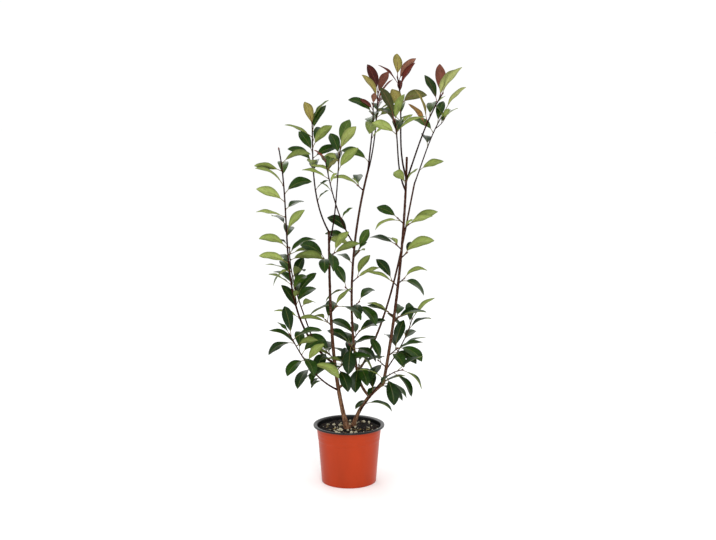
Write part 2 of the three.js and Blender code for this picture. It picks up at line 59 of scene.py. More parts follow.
GAP = 0.3  # clear space between two solids that meet

POT = Sizes(
    height=156, rim_radius=95, lip_height=4.6, top_radius=86.8, shoulder_radius=83, shoulder_height=118,
    neck_radius=81.9, neck_height=112, base_radius=73, wall=1.6, floor=2.4, grooves=[126, 136, 145],
    drains=8, drain_radius=5, drain_circle=52, notches=8, notch_radius=9, notch_height=1.8,
)
SOIL_TOP = 149

LEAF = Sizes(
    petiole_share=0.17,  # of the whole leaf's length
    fold=15,  # degrees that each half of the blade rises from the midrib
    twist=36,  # degrees that a leaf marked by a capital is turned about its midrib
    even=0.01,  # an hour on an axis counts as this far right of it and in front of it
)

# How a leaf stands: the pitch at which it leaves the stem and the pitch at its tip, in degrees, and its
# length with the petiole and its width.
POSTURES = {
    "e": (78, 48, 84, 26),  # erect
    "u": (70, 32, 83, 27),  # held up
    "a": (58, -8, 86, 28),  # arching over
    "l": (36, 0, 80, 26),  # level
    "d": (12, -62, 83, 32),  # hanging
    "h": (-20, -78, 82, 34),  # drooping
    "s": (62, 24, 43, 14),  # young and small
    "n": (10, -50, 43, 17),  # small and hanging
}
SMALL = "sn"
JITTER = Sizes(hour=0.25, pitch=8, roll=22, size=0.1)
TURNS = [0, 0.5, -0.5, 1, -1, 1.6, -1.6]  # hours that a leaf is turned by to find room
TWIG = Sizes(length=40, lean=42, leaves=57, arrives=22, radius=(1.3, 0.9), places=[0.5, 0.8, 1],
             hours=[-2.2, 2.2, 0])
SPUR = Sizes(reach=15, lean=48, radius=(1.6, 1.3))
NODES = Sizes(before=0.7, after=0.3)  # how far from a shoot's ends its first and last leaves stand, in gaps
SEED = 7919
LIMB = Sizes(taper=0.65, flare=0.55, flare_reach=14, collar=0.25, collar_reach=7)

# ---- The plant's plan, as in the part's source ----
# Directions are hours of a clock seen from above: 3 is +X, 6 is -Y, 9 is -X and 12 is +Y. leaves and
# arrives give the hour and the lean from upright at a limb's foot and tip. Each leaf of a foliage list is
# an hour and a posture, with a capital where the blade is turned about its midrib. A dash is a node whose
# leaf has dropped, and t is a side twig. A third letter is the tint of a leaf that is still young.


def wood(name, parent, at, tip, leaves, arrives, radius, bare=None, foliage=None, knee=None):
    """A limb from a share of its parent's length, or a trunk from its place on the compost."""
    return {"name": name, "from": parent, "at": at, "tip": tip, "leaves": leaves, "arrives": arrives,
            "radius": radius, "bare": bare, "foliage": foliage, "knee": knee}


def spur(name, parent, at, hour, foliage, reach=SPUR.reach):
    return {"name": name, "from": parent, "at": at, "hour": hour, "foliage": foliage, "reach": reach}


TRUNKS = [
    wood("trunk_left", None, (-5, -20), (-52, 0, 672), (9.2, 15), (11.3, 2), (6.4, 2.9)),
    wood("trunk_right", None, (11, 0), (151, 2, 867), (3, 16), (3, 1), (5.3, 2.9),
         knee={"at": (92, 6, 264), "share": 0.2, "arrives": (3, 55), "leaves": (3, 10)}),
]

FORKS = [
    wood("stem_middle", "trunk_right", 0.13, (51, 80, 828), (9.1, 50), (2.4, 15), (3.9, 2.8),
         knee={"at": (15, 14, 349), "share": 0.2, "arrives": (10.5, 9), "leaves": (10.5, 9)}),
    wood("stem_right_back", "trunk_left", 0.212, (178, 138, 790), (2, 66), (1.7, 15), (3.4, 2.3),
         knee={"at": (42, 36, 319), "share": 0.18, "arrives": (2.3, 30), "leaves": (2.3, 30)}),
]

SHOOTS = [
    wood("far_left", "trunk_left", 0.335, (-173, -110, 890), (8.7, 55), (7.5, 14), (3.4, 1.7), 0.26,
         "8L 10U 12a 6s 1a 10l 11a 7D 8L 2a 9A 12a 3U 11l 9L 1l 8L 2A 9A 12a 9L 3A - -"),
    wood("far_left_inner", "far_left", 0.13, (-158, 50, 622), (10.6, 29), (0, 19), (2.3, 1.5), 0.24,
         "3l 4U 5L 12a 2U 10a 1U 5A 9l 11a 4L 3L 8s"),
    wood("low_left", "trunk_left", 0.2, (-147, -160, 430), (7.8, 64), (7, 40), (2.6, 1.5), 0.22,
         "8n 7n - 8n 6n 7d 3D 4U 7.5d 5d 2A 12a 9a 4L 8.5d 3a 11U 10s"),
    wood("left_back", "trunk_left", 1, (-98, 96, 956), (10.1, 35), (11.8, 19), (2.3, 1.7), 0.22,
         "- 3s - 3s - - 12a 6l 9.4A 2L 11U 4U 1A 9L 12u 7Uy 2Uf"),
    wood("left_front", "trunk_left", 0.94, (-22, 34, 890), (2.5, 16), (1, 14), (2.1, 1.5), 0.62,
         "- 9l 4U 12a 7L 11U 4Uf 1Uf"),
    wood("middle_side", "stem_middle", 0.668, (-57, -116, 862), (7.2, 46), (6.4, 38), (2.2, 1.4), 0,
         "- - 10A - - - 2s - - - - - 8s - 5s 9L 12a 4Sb 11sb 9sr"),
    wood("middle_top", "stem_middle", 1, (64, 60, 1000), (4.1, 6), (6.5, 6), (2.2, 1.6), 0,
         "- 9.4A - - - - 3s - 12a 6Dp 3s 9.4A 10Sr 6Ss"),
    wood("middle_top_back", "stem_middle", 0.96, (78, 140, 1034), (1.5, 24), (0.3, 15), (2.1, 1.5), 0.6,
         "- 10l 4L 12a 3L 1am 3Ur 9Uy 1.5Es 10.5Em"),
    wood("right_front", "trunk_right", 0.885, (114, -110, 964), (7.4, 37), (6.8, 34), (2.4, 1.6), 0.68,
         "- 12a 8L 4l 2s 11ab 2Ep 10Eb"),
    wood("right_top", "trunk_right", 0.93, (127, 30, 1070), (9.5, 19), (9.8, 14), (2.5, 1.7), 0.46,
         "- 4S 10l 12a 7Uy - 4Ab - - 12sm 3Em 9um 4Us 6Uy"),
    wood("right_outer", "trunk_right", 0.915, (234, -100, 1027), (4.8, 29), (4.4, 39), (2.5, 1.6), 0.6,
         "8Uo 9ey - 12a - - 3s - 10Ek 4Up 12.5es 3Up"),
    wood("right_back", "stem_right_back", 1, (262, 178, 985), (2.4, 22), (2.6, 34), (1.9, 1.4), 0,
         "- - 4L - - - - 12a - - 10A 3t 1u 4s 11s 3Up"),
    wood("low_right", "trunk_right", 0.06, (136, -120, 330), (4.2, 42), (4.3, 74), (2.2, 1.4), 0.1,
         "3d 8n - 12a - 4d - 9a 5h 7n 4h 2l 3h"),
    wood("right_upright", "trunk_right", 0.25, (171, 88, 423), (1.5, 50), (1, 34), (2.0, 1.3), 0,
         "- - 4L 11a 3l 1l 9u 2a 12u 3U"),
]

SPURS = [
    spur("left_upper_left", "trunk_left", 0.84, 9, "8L 10A 6d"),
    spur("left_upper_right", "trunk_left", 0.87, 4, "3L 6D 4U"),
    spur("left_middle_left", "trunk_left", 0.53, 9.5, "9L 11a 7l"),
    spur("left_middle_right", "trunk_left", 0.6, 3, "3U 4d"),
    spur("left_low_left", "trunk_left", 0.36, 9.5, "9L 10A 12l 7d 6l", reach=22),
    spur("left_low_right", "trunk_left", 0.3, 4, "5h 3a 2A 7n 8d 9l", reach=28),
    spur("back_low", "stem_right_back", 0.13, 6, "10a 3n 7d 2l 5h 1a", reach=24),
    spur("middle_low", "stem_middle", 0.2, 7, "5h 12a 2d 10A 7h 3l 9s", reach=30),
    spur("middle_lower_left", "stem_middle", 0.15, 8.6, "9l 11a 7n", reach=22),
    spur("middle_lower_right", "stem_middle", 0.391, 3, "4d 6d 1A", reach=20),
    spur("middle_lower_back", "stem_middle", 0.254, 1.5, "10A 12l 2L 3l 4l", reach=24),
    spur("middle_left", "stem_middle", 0.459, 9, "8D 10U"),
    spur("middle_right", "stem_middle", 0.505, 3, "3L 4U"),
    spur("middle_back", "stem_middle", 0.572, 12, "11l 1a"),
    spur("middle_upper_left", "stem_middle", 0.651, 9, "8L 10A"),
    spur("middle_upper_right", "stem_middle", 0.618, 2.5, "3s 2U"),
    spur("middle_high_left", "stem_middle", 0.91, 9, "9A 8s 12l"),
    spur("right_foot", "trunk_right", 0.17, 5, "7n 2l 3.5d", reach=22),
    spur("right_low_left", "trunk_right", 0.26, 8.5, "8d 11U 6l", reach=22),
    spur("right_low_right", "trunk_right", 0.3, 4, "5d 2D 3l 1U 4d", reach=30),
    spur("right_lower_left", "trunk_right", 0.44, 9.5, "10L 8l"),
    spur("right_lower_right", "trunk_right", 0.42, 2, "2L 1A 4l"),
    spur("right_middle_left", "trunk_right", 0.55, 9.5, "9L 10U"),
    spur("right_middle_right", "trunk_right", 0.56, 3.5, "2D 4A"),
    spur("right_upper_left", "trunk_right", 0.68, 8.5, "9s 7s 10L"),
    spur("right_upper_right", "trunk_right", 0.65, 3, "3A 1s"),
    spur("right_high_left", "trunk_right", 0.77, 9.5, "9D 10L"),
    spur("right_high_right", "trunk_right", 0.75, 4, "5s 4L 3L"),
    spur("right_head", "trunk_right", 0.9, 6, "9s 7L 2s"),
]

# ---- Limbs ----


def heading(hour, lean):
    around, tilt = math.radians(90 - 30 * hour), math.radians(lean)
    return np.array([math.sin(tilt) * math.cos(around), math.sin(tilt) * math.sin(around), math.cos(tilt)])


def unit(v):
    return v / np.linalg.norm(v, axis=-1, keepdims=True)


def bend(start, end, leaves, arrives):
    third = np.linalg.norm(end - start) / 3
    return np.array([start, start + heading(*leaves) * third, end - heading(*arrives) * third, end])


class Limb:
    """A limb's centre line, as one or two cubic bends, and its radius."""

    MEASURED = 200  # steps in which the length of a bend is summed

    def __init__(self, plan, foot, rooted=False):
        tip, knee = np.array(plan["tip"], float), plan.get("knee")
        if knee:
            at, self.share = np.array(knee["at"], float), knee["share"]
            self.bends = [bend(foot, at, plan["leaves"], knee["arrives"]),
                          bend(at, tip, knee["leaves"], plan["arrives"])]
        else:
            self.bends, self.share = [bend(foot, tip, plan["leaves"], plan["arrives"])], 1
        self.radius, self.rooted = plan["radius"], rooted
        ends = ((0, self.share), (self.share, 1))[:len(self.bends)]
        steps = (self.point(np.linspace(*part, self.MEASURED + 1)) for part in ends)
        self.length = sum(np.linalg.norm(np.diff(points, axis=0), axis=1).sum() for points in steps)

    def _bend(self, t):
        """The corners of the bend that each share of the limb is on, and its share of that bend."""
        t = np.asarray(t, float)[..., None]
        low = t <= self.share
        own = np.where(low, t / self.share, (t - self.share) / (1 - self.share or 1))
        return (*(np.where(low, a, b) for a, b in zip(self.bends[0], self.bends[-1])), own)

    def point(self, t):
        a, b, c, d, t = self._bend(t)
        return a * (1 - t) ** 3 + 3 * b * t * (1 - t) ** 2 + 3 * c * t ** 2 * (1 - t) + d * t ** 3

    def tangent(self, t):
        a, b, c, d, t = self._bend(t)
        return unit((b - a) * (1 - t) ** 2 + 2 * (c - b) * t * (1 - t) + (d - c) * t ** 2)

    def radius_at(self, t):
        t = np.asarray(t, float)
        foot, tip = self.radius
        swell = LIMB.flare if self.rooted else LIMB.collar
        reach = LIMB.flare_reach if self.rooted else LIMB.collar_reach
        return (foot + (tip - foot) * t ** LIMB.taper) * (1 + swell * np.exp(-t * self.length / reach))


# ---- Leaves ----


class Leaf:
    """One leaf as the plan and the seeded draws place it."""

    def __init__(self, hour, letter, tint, root, draw):
        rise, end, length, width = POSTURES[letter.lower()]
        self.root, self.letter, self.tint = root, letter, tint
        self.hour = hour + JITTER.hour * draw()
        tilt = JITTER.pitch * draw()
        roll = JITTER.roll * draw()
        size = 1 + JITTER.size * draw()
        level = heading(hour, 90)
        sense = np.sign((level[0] + LEAF.even) * (level[1] - LEAF.even))
        twist = LEAF.twist * sense if letter.isupper() else 0
        self.rise, self.end = math.radians(rise + tilt), math.radians(end + tilt)
        self.roll = math.radians(roll + twist)
        self.length, self.width = length * size, width * size

    def on(self, share, more_roll=0):
        """Centre, side and facing at shares of the leaf's length, along an arc above its hour."""
        turn = self.end - self.rise
        pitch = self.rise + turn * np.asarray(share, float)
        out = (np.sin(pitch) - math.sin(self.rise)) * self.length / turn
        up = (math.cos(self.rise) - np.cos(pitch)) * self.length / turn
        level = heading(self.hour, 90)
        centre = self.root + out[..., None] * level + up[..., None] * UP
        normal = np.cos(pitch)[..., None] * UP - np.sin(pitch)[..., None] * level
        side = np.cross(UP, level)
        roll = (self.roll + np.asarray(more_roll, float) + 0 * pitch)[..., None]
        cos, sin = np.cos(roll), np.sin(roll)
        return centre, side * cos + normal * sin, normal * cos - side * sin

    def tip(self):
        return self.on(np.array(1.0))[0]


def draws_from(seed):
    """The part's small random sequence: numbers from -1 to 1."""
    state = seed

    def draw():
        nonlocal state
        state = (state * 1664525 + 1013904223) % 2 ** 32
        return state / 2 ** 32 * 2 - 1

    return draw


# ---- Growing: which leaves the solids kept, and where ----

SAME = 0.05  # a computed tip this close to a corner of the solid is that solid's own


class Mass:
    """A leafy shoot: where its leaves and its own wood start on its limb, and what the solids kept of it."""

    def __init__(self, plan, limb, start, wood_from):
        self.plan, self.limb, self.start, self.wood_from = plan, limb, start, wood_from
        self.node = f"foliage_{plan['name']}"
        self.leaves, self.twigs, self.nodes = [], [], []


def corners_of(node):
    """A search tree of a CAD node's corners, in millimetres."""
    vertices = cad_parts[node].data.vertices
    tree = KDTree(len(vertices))
    for i, v in enumerate(vertices):
        tree.insert(v.co / MM, i)
    tree.balance()
    return tree


def kept_by(tree, leaf):
    """Turns the leaf as the solid of the same leaf is turned. False where it was left out."""
    hour = leaf.hour
    for turn in TURNS:
        leaf.hour = hour + turn
        if tree.find(Vector(leaf.tip()))[2] < SAME:
            return True
    return False


def grow():
    limbs, masses = {}, []
    for plan in TRUNKS:
        foot = np.array([*plan["at"], SOIL_TOP + GAP], float)
        limbs[plan["name"]] = Limb(plan, foot, rooted=True)
    for plan in FORKS:
        limbs[plan["name"]] = Limb(plan, limbs[plan["from"]].point(plan["at"]))
    for plan in SHOOTS:
        parent = limbs[plan["from"]]
        foot = parent.point(plan["at"])
        if plan["at"] == 1:
            foot = foot + parent.tangent(1) * GAP
        limb = limbs[plan["name"]] = Limb(plan, foot)
        start = plan["bare"] + GAP / limb.length if plan["bare"] > 0 else 0
        masses.append(Mass(plan, limb, start, start))
    for plan in SPURS:
        parent = limbs[plan["from"]]
        foot = parent.point(plan["at"])
        inside = float(parent.radius_at(plan["at"])) / math.sin(math.radians(SPUR.lean))
        course = (plan["hour"], SPUR.lean)
        tip = foot + heading(*course) * (inside + plan["reach"])
        plan = {**plan, "tip": tip, "leaves": course, "arrives": course, "radius": SPUR.radius}
        limb = limbs[plan["name"]] = Limb(plan, foot)
        masses.append(Mass(plan, limb, 1 - plan["reach"] / limb.length, 0))
    for number, mass in enumerate(masses):
        grow_leaves(mass, draws_from(SEED * (number + 1)))
    return limbs, masses


def grow_leaves(mass, draw):
    tree = corners_of(mass.node)
    marks = mass.plan["foliage"].split()

    def add_leaf(hour, letter, tint, root):
        leaf = Leaf(hour, letter, tint, root, draw)
        if kept_by(tree, leaf):
            mass.leaves.append(leaf)

    for i, mark in enumerate(marks):
        place = mass.start + (1 - mass.start) * (i + NODES.before) / (len(marks) - NODES.after)
        mass.nodes.append(place)
        if mark == "-":
            continue
        hour, letter, tint = re.fullmatch(r"([\d.]+)([a-zA-Z])([a-z]?)", mark).groups()
        hour, root = float(hour), mass.limb.point(place)
        if letter != "t":
            add_leaf(hour, letter, tint, root)
            continue
        tip = root + heading(hour, TWIG.lean) * TWIG.length
        plan = {"tip": tip, "leaves": (hour, TWIG.leaves), "arrives": (hour, TWIG.arrives),
                "radius": TWIG.radius}
        twig = Limb(plan, root)
        if tree.find(Vector(tip))[2] > 2 * TWIG.radius[1]:
            continue
        mass.twigs.append(twig)
        for share, turn in zip(TWIG.places, TWIG.hours):
            add_leaf(hour + turn, "s", tint, twig.point(share))


# ---- Meshes ----


class Shape:
    """Points, faces, the material of each face and UV maps, gathered from many small bodies."""

    def __init__(self):
        self.points, self.loops, self.counts, self.slots, self.maps = [], [], [], [], {}
        self.size = 0

    def add(self, points, faces, slots=0, **maps):
        """faces is a list of arrays, one for each number of corners. A map has a row for each corner."""
        self.points.append(points)
        for block in faces:
            self.loops.append((block + self.size).ravel())
            self.counts.append(np.full(len(block), block.shape[1]))
        count = sum(len(block) for block in faces)
        self.slots.append(np.broadcast_to(slots, count))
        for name, uv in maps.items():
            self.maps.setdefault(name, []).append(uv)
        self.size += len(points)
        return self

    def make(self, name, materials, sharp=50):
        """The piece, in metres, shaded smooth up to an angle of sharp degrees."""
        mesh = bpy.data.meshes.new(name)
        points, loops, counts = (np.concatenate(x) for x in (self.points, self.loops, self.counts))
        mesh.vertices.add(len(points))
        mesh.vertices.foreach_set("co", (points * MM).astype(np.float32).ravel())
        mesh.loops.add(len(loops))
        mesh.loops.foreach_set("vertex_index", loops.astype(np.int32))
        mesh.polygons.add(len(counts))
        mesh.polygons.foreach_set("loop_start", (np.cumsum(counts) - counts).astype(np.int32))
        mesh.polygons.foreach_set("loop_total", counts.astype(np.int32))
        for material in materials:
            mesh.materials.append(material)
        mesh.polygons.foreach_set("material_index", np.concatenate(self.slots).astype(np.int32))
        for map_name, parts in self.maps.items():
            layer = mesh.uv_layers.new(name=map_name)
            layer.data.foreach_set("uv", np.concatenate(parts).astype(np.float32).ravel())
        mesh.update(calc_edges=True)
        mesh.validate()
        mesh.polygons.foreach_set("use_smooth", np.ones(len(mesh.polygons), bool))
        mesh.set_sharp_from_angle(angle=math.radians(sharp))
        return added(name, mesh)


def placed(piece, slot, *nodes):
    """Puts a piece under the root body and hides the imported parts that it stands for."""
    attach(piece, "root")
    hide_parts(*nodes)


def around(sides):
    """Angles round a circle, in radians."""
    return np.linspace(0, 2 * math.pi, sides, endpoint=False)


def ring(radius, sides):
    """A level circle of points round the origin."""
    turn = around(sides)
    return np.stack([np.cos(turn), np.sin(turn), 0 * turn], -1) * radius


def grid_faces(rows, columns, closed=False):
    """Quads between rows of points. closed joins the last column to the first."""
    across = columns if closed else columns - 1
    i, j = np.meshgrid(np.arange(rows - 1), np.arange(across), indexing="ij")
    k = (j + 1) % columns
    quads = np.stack([i * columns + j, i * columns + k, (i + 1) * columns + k, (i + 1) * columns + j], -1)
    return quads.reshape(-1, 4)


def tube(rings):
    """A closed skin over rings of points, an array of rings by sides by 3: its points and its faces."""
    rows, sides, _ = rings.shape
    first = np.arange(sides)[None, ::-1]
    last = (rows - 1) * sides + np.arange(sides)[None]
    return rings.reshape(-1, 3), [grid_faces(rows, sides, closed=True), first, last]


def rings_on(centre, along, radius):
    """Rings round points. radius is a number for each ring, or for each ring and side."""
    across = unit(np.cross([0.0, 1.0, 0.0], along))
    up = np.cross(along, across)
    turn = around(radius.shape[1])
    spread = np.cos(turn)[:, None] * across[:, None, :] + np.sin(turn)[:, None] * up[:, None, :]
    return centre[:, None, :] + radius[..., None] * spread


# ---- Bark ----

BARK = Sizes(
    step={"stem": 2.6, "bough": 3.2, "shoot": 3, "spur": 3},  # between rings
    sides={"stem": 18, "bough": 14, "shoot": 10, "spur": 8},
    ridge=0.055,  # how far a ridge stands out, as a share of the radius
    layers=((0.55, 1), (1.5, 0.5)),  # the scale and the strength of each layer of ridges
    drawn=0.22,  # heights are squeezed to this for the ridges, which draws them out along the wood
    node_step=24,  # between nodes where no leaf is left
    node_turn=4.8,  # hours from one node to the next
    swell=0.13,  # how far a node swells, as a share of the radius
    swell_reach=2.4,
    swell_back=0.35,  # the share of the swelling that goes all the way round
    lobes=((3, 0.16), (5, 0.1)),  # how many buttresses a trunk's foot has, and how far they stand out
    sunk=4,  # how deep a trunk goes into the heap of compost round its foot
    stub=(0.72, 0.5),  # the share to which a cut tip narrows, and its height
)


def noise_at(points, scale):
    found = [noise.noise(Vector(p) * scale) for p in points.reshape(-1, 3)]
    return np.array(found).reshape(points.shape[:-1])


def wood_rings(limb, t0, t1, kind, nodes=None):
    """Rings of bark: ridged, and swollen at each node, most on the side where its leaf stands or stood."""
    steps, turn = max(4, int((t1 - t0) * limb.length / BARK.step[kind])), around(BARK.sides[kind])
    t = np.linspace(t0, t1, steps + 1)
    centre, along = limb.point(t), limb.tangent(t)
    if limb.rooted:
        along[0] = UP
    run = t * limb.length
    radius = np.repeat(limb.radius_at(t)[:, None], len(turn), 1)
    stretched = rings_on(centre, along, radius) * [1, 1, BARK.drawn]
    if nodes is None:
        nodes = np.arange(BARK.node_step, limb.length, BARK.node_step) / limb.length
    for n, place in enumerate(nodes):
        gap = (run - place * limb.length) / BARK.swell_reach
        facing = 0.5 + 0.5 * np.cos(turn - math.radians(30 * BARK.node_turn * n))
        share = BARK.swell_back + (1 - BARK.swell_back) * facing ** 3
        radius = radius * (1 + BARK.swell * np.exp(-gap ** 2)[:, None] * share)
    ridges = sum(strength * noise_at(stretched, scale) for scale, strength in BARK.layers)
    radius = radius * (1 + BARK.ridge * ridges)
    if limb.rooted:
        (few, far), (many, near) = BARK.lobes
        lobes = far * np.cos(few * turn + limb.length) + near * np.cos(many * turn)
        radius = radius * (1 + np.exp(-run / LIMB.flare_reach)[:, None] * lobes)
    return rings_on(centre, along, radius)


def make_bark(limbs):
    """A skin with relief for each stem and each bough of bare wood."""
    for plan in TRUNKS + FORKS:
        name, limb = plan["name"], limbs[plan["name"]]
        rings = wood_rings(limb, 0, 1, "stem")
        if limb.rooted:
            rings = np.concatenate([rings[:1] - BARK.sunk * UP, rings])
        crown, (narrow, height) = rings[-1].mean(0), BARK.stub
        stub = crown + (rings[-1] - crown) * narrow + limb.tangent(1) * height
        shape = Shape().add(*tube(np.concatenate([rings, stub[None]])))
        placed(shape.make(f"bark_{name}", [bark]), "bark", name)
    for plan in SHOOTS:
        if plan["bare"] > 0:
            name = f"bough_{plan['name']}"
            shape = Shape().add(*tube(wood_rings(limbs[plan["name"]], 0, plan["bare"], "bough")))
            placed(shape.make(f"bark_{name}", [young_bark]), "young_bark", name)


def make_twigs(masses):
    """The wood inside the masses: the leafy ends of the boughs, the spurs and the side twigs."""
    shape = Shape()
    for mass in masses:
        kind = "spur" if "hour" in mass.plan else "shoot"
        shape.add(*tube(wood_rings(mass.limb, mass.wood_from, 1, kind, mass.nodes)))
        for twig in mass.twigs:
            shape.add(*tube(wood_rings(twig, 0, 1, "spur", TWIG.places)))
    placed(shape.make("twigs", [twig_bark]), "young_bark", *(mass.node for mass in masses))


# ---- Leaf blades ----

BLADE = Sizes(
    rows=44,  # every second row ends in a tooth
    small_rows=30,
    columns=[-1, -0.78, -0.48, -0.2, 0, 0.2, 0.48, 0.78, 1],
    tooth=0.5,  # how far a tooth stands out
    tooth_lean=0.35,  # how far it points forward, in rows
    smooth=(0.12, 0.25),  # the edge's share before the first tooth, and the share in which teeth grow
    least=(0.9, 0.15),  # the half width that is left at the foot and at the tip
    thickness=0.5,
    thin=0.35,  # the share of its thickness that the blade loses towards its edge
    fold=(0.55, 1.35),  # the range of its fold, in shares of the usual one
    turn=0.22,  # radians that the tip may turn about the midrib
    veins=7,
    slant=1.5,  # how many vein gaps a side vein runs forward on its way to the edge
    quilt=0.32,  # how far the blade swells between the veins
    wave=1.3,  # how far the edge rises and falls
    waves=(1, 1.9),  # how many times it does
)
STALK = Sizes(
    sides=6,
    petiole=1.05,  # radius
    body=([0, 0.051, 0.17, 0.23], [1.25, 1, 0.92, 0.72]),  # shares of the leaf's length and of that radius
    end=0.2,  # the share left where the midrib ends
    reach=0.93,  # the share of the leaf's length where that is
    proud=0.14,  # how far the midrib stands out of the blade
    usual_length=83,
)

# Places in a leaf's cell of the atlas, as a scale and a shift: a side of the blade, and below it the stalk's
# skin and its two ends.
CELL = {
    "blade": ([1, 0.86], [0, 0.14]),
    "skin": ([0.86, 0.09], [0.01, 0.02]),
    "foot": ([0.04, 0.09], [0.89, 0.02]),
    "end": ([0.04, 0.09], [0.95, 0.02]),
}
MAP_MARGIN = 0.03  # the rim's faces lie this far outside the underside's outline


def blade_width(u):
    """Half width of the blade at shares of its own length, as a share of its widest."""
    body = u * (1 - u) ** 0.82 / 0.286
    return body * (1 - 0.35 * u ** 8)


class BladePattern:
    """The faces and maps that every leaf with the same number of rows shares."""

    def __init__(self, rows):
        columns = len(BLADE.columns)
        top = grid_faces(rows, columns)
        size = rows * columns
        left, low = np.arange(rows) * columns, np.arange(columns)
        right, high = left + columns - 1, low + size - columns
        loop = np.concatenate([low, right[1:], high[::-1][1:], left[::-1][1:-1]])
        after = np.roll(loop, -1)
        rim = np.stack([loop, loop + size, after + size, after], -1)
        self.faces = np.concatenate([top, top[:, ::-1] + size, rim])
        self.is_under = np.arange(len(self.faces)) >= len(top)
        along = np.repeat(np.linspace(0, 1, rows), columns)
        across = np.tile(np.array(BLADE.columns) / 2 + 0.5, rows)
        own = np.stack([along, across], -1)
        self.leaf_map = np.concatenate([own, own])[self.faces].reshape(-1, 2)
        inner = MAP_MARGIN * 2 + (1 - MAP_MARGIN * 4) * own
        outer = 0.5 + (inner - 0.5) * (1 + MAP_MARGIN)
        self.cell_map = np.concatenate([outer, inner])[self.faces].reshape(-1, 2)


PATTERNS = {rows: BladePattern(rows) for rows in (BLADE.rows, BLADE.small_rows)}


def blade_points(leaf, rows, rng):
    """The blade's upper points and then its lower ones: folded, quilted, waved and toothed."""
    u = np.linspace(0, 1, rows)[:, None]
    v = np.array(BLADE.columns, float)[None]
    far = np.abs(v)
    edge, (smooth, growing), (foot, tip) = far == 1, BLADE.smooth, BLADE.least
    tooth = (np.arange(rows) % 2 == 0)[:, None] * np.clip((u - smooth) / growing, 0, 1)
    share = u + edge * tooth * BLADE.tooth_lean / rows + 0 * v
    half = np.maximum(blade_width(np.minimum(u, 0.999)) * leaf.width / 2, foot * (1 - u) + tip * u)
    reach = v * half + np.sign(v) * edge * tooth * BLADE.tooth * np.sin(math.pi * u) ** 0.3
    lift = math.radians(LEAF.fold) * rng.uniform(*BLADE.fold)
    rise = np.abs(reach) * math.sin(lift) * far ** 0.25
    phase = share * BLADE.veins - far * BLADE.slant
    quilt = (0.5 - 0.5 * np.cos(2 * math.pi * phase)) ** 0.6 * np.sin(math.pi * far ** 0.7) ** 0.8
    rise = rise + BLADE.quilt * quilt * np.minimum(half / 8, 1)
    starts = np.where(v < 0, rng.uniform(0, 1), rng.uniform(0, 1))
    wave = np.sin(2 * math.pi * (rng.uniform(*BLADE.waves) * u + starts)) * v ** 2
    rise = rise + BLADE.wave * wave * half / (leaf.width / 2)
    turned = rng.uniform(-BLADE.turn, BLADE.turn) * u + 0 * v
    petiole = LEAF.petiole_share
    centre, side, facing = leaf.on(petiole + (1 - petiole) * np.minimum(share, 1), turned)
    upper = centre + (reach * math.cos(lift))[..., None] * side + rise[..., None] * facing
    thickness = BLADE.thickness * (1 - BLADE.thin * far) + 0 * u
    lower = upper - thickness[..., None] * facing
    return np.concatenate([upper.reshape(-1, 3), lower.reshape(-1, 3)])


def stalk_tube(leaf):
    """The petiole, and the midrib that it runs on into under the blade."""
    petiole, end = LEAF.petiole_share, STALK.reach
    under = petiole + (end - petiole) * np.linspace(0, 1, 11)[1:] ** 0.9
    share = np.concatenate([np.linspace(0, petiole, 5), under])
    run = np.clip((share - petiole) / (end - petiole), 0, 1)
    body = np.interp(share, *STALK.body)
    scale = math.sqrt(leaf.length / STALK.usual_length)
    radius = (body * (1 - run) + STALK.end * run) * scale * STALK.petiole
    centre, side, facing = leaf.on(share)
    sunk = np.where(share > petiole, radius - STALK.proud - BLADE.thickness * 0.3, 0)
    ease = np.clip((share - petiole * 0.8) / (petiole * 0.5), 0, 1)
    middle = centre - (sunk * ease)[:, None] * facing
    turn = around(STALK.sides)
    spread = np.cos(turn)[:, None] * side[:, None] + np.sin(turn)[:, None] * facing[:, None]
    return tube(middle[:, None] + radius[:, None, None] * spread)


def stalk_skin(quads):
    """The map of a stalk's skin: a strip, in which its rings run across."""
    across, side = quads[:, 0] // STALK.sides, quads[:, 0] % STALK.sides
    corner_u = np.stack([across, across, across + 1, across + 1], -1) / (across.max() + 1)
    corner_v = np.stack([side, side + 1, side + 1, side], -1) / STALK.sides
    return np.stack([corner_u, corner_v], -1).reshape(-1, 2)


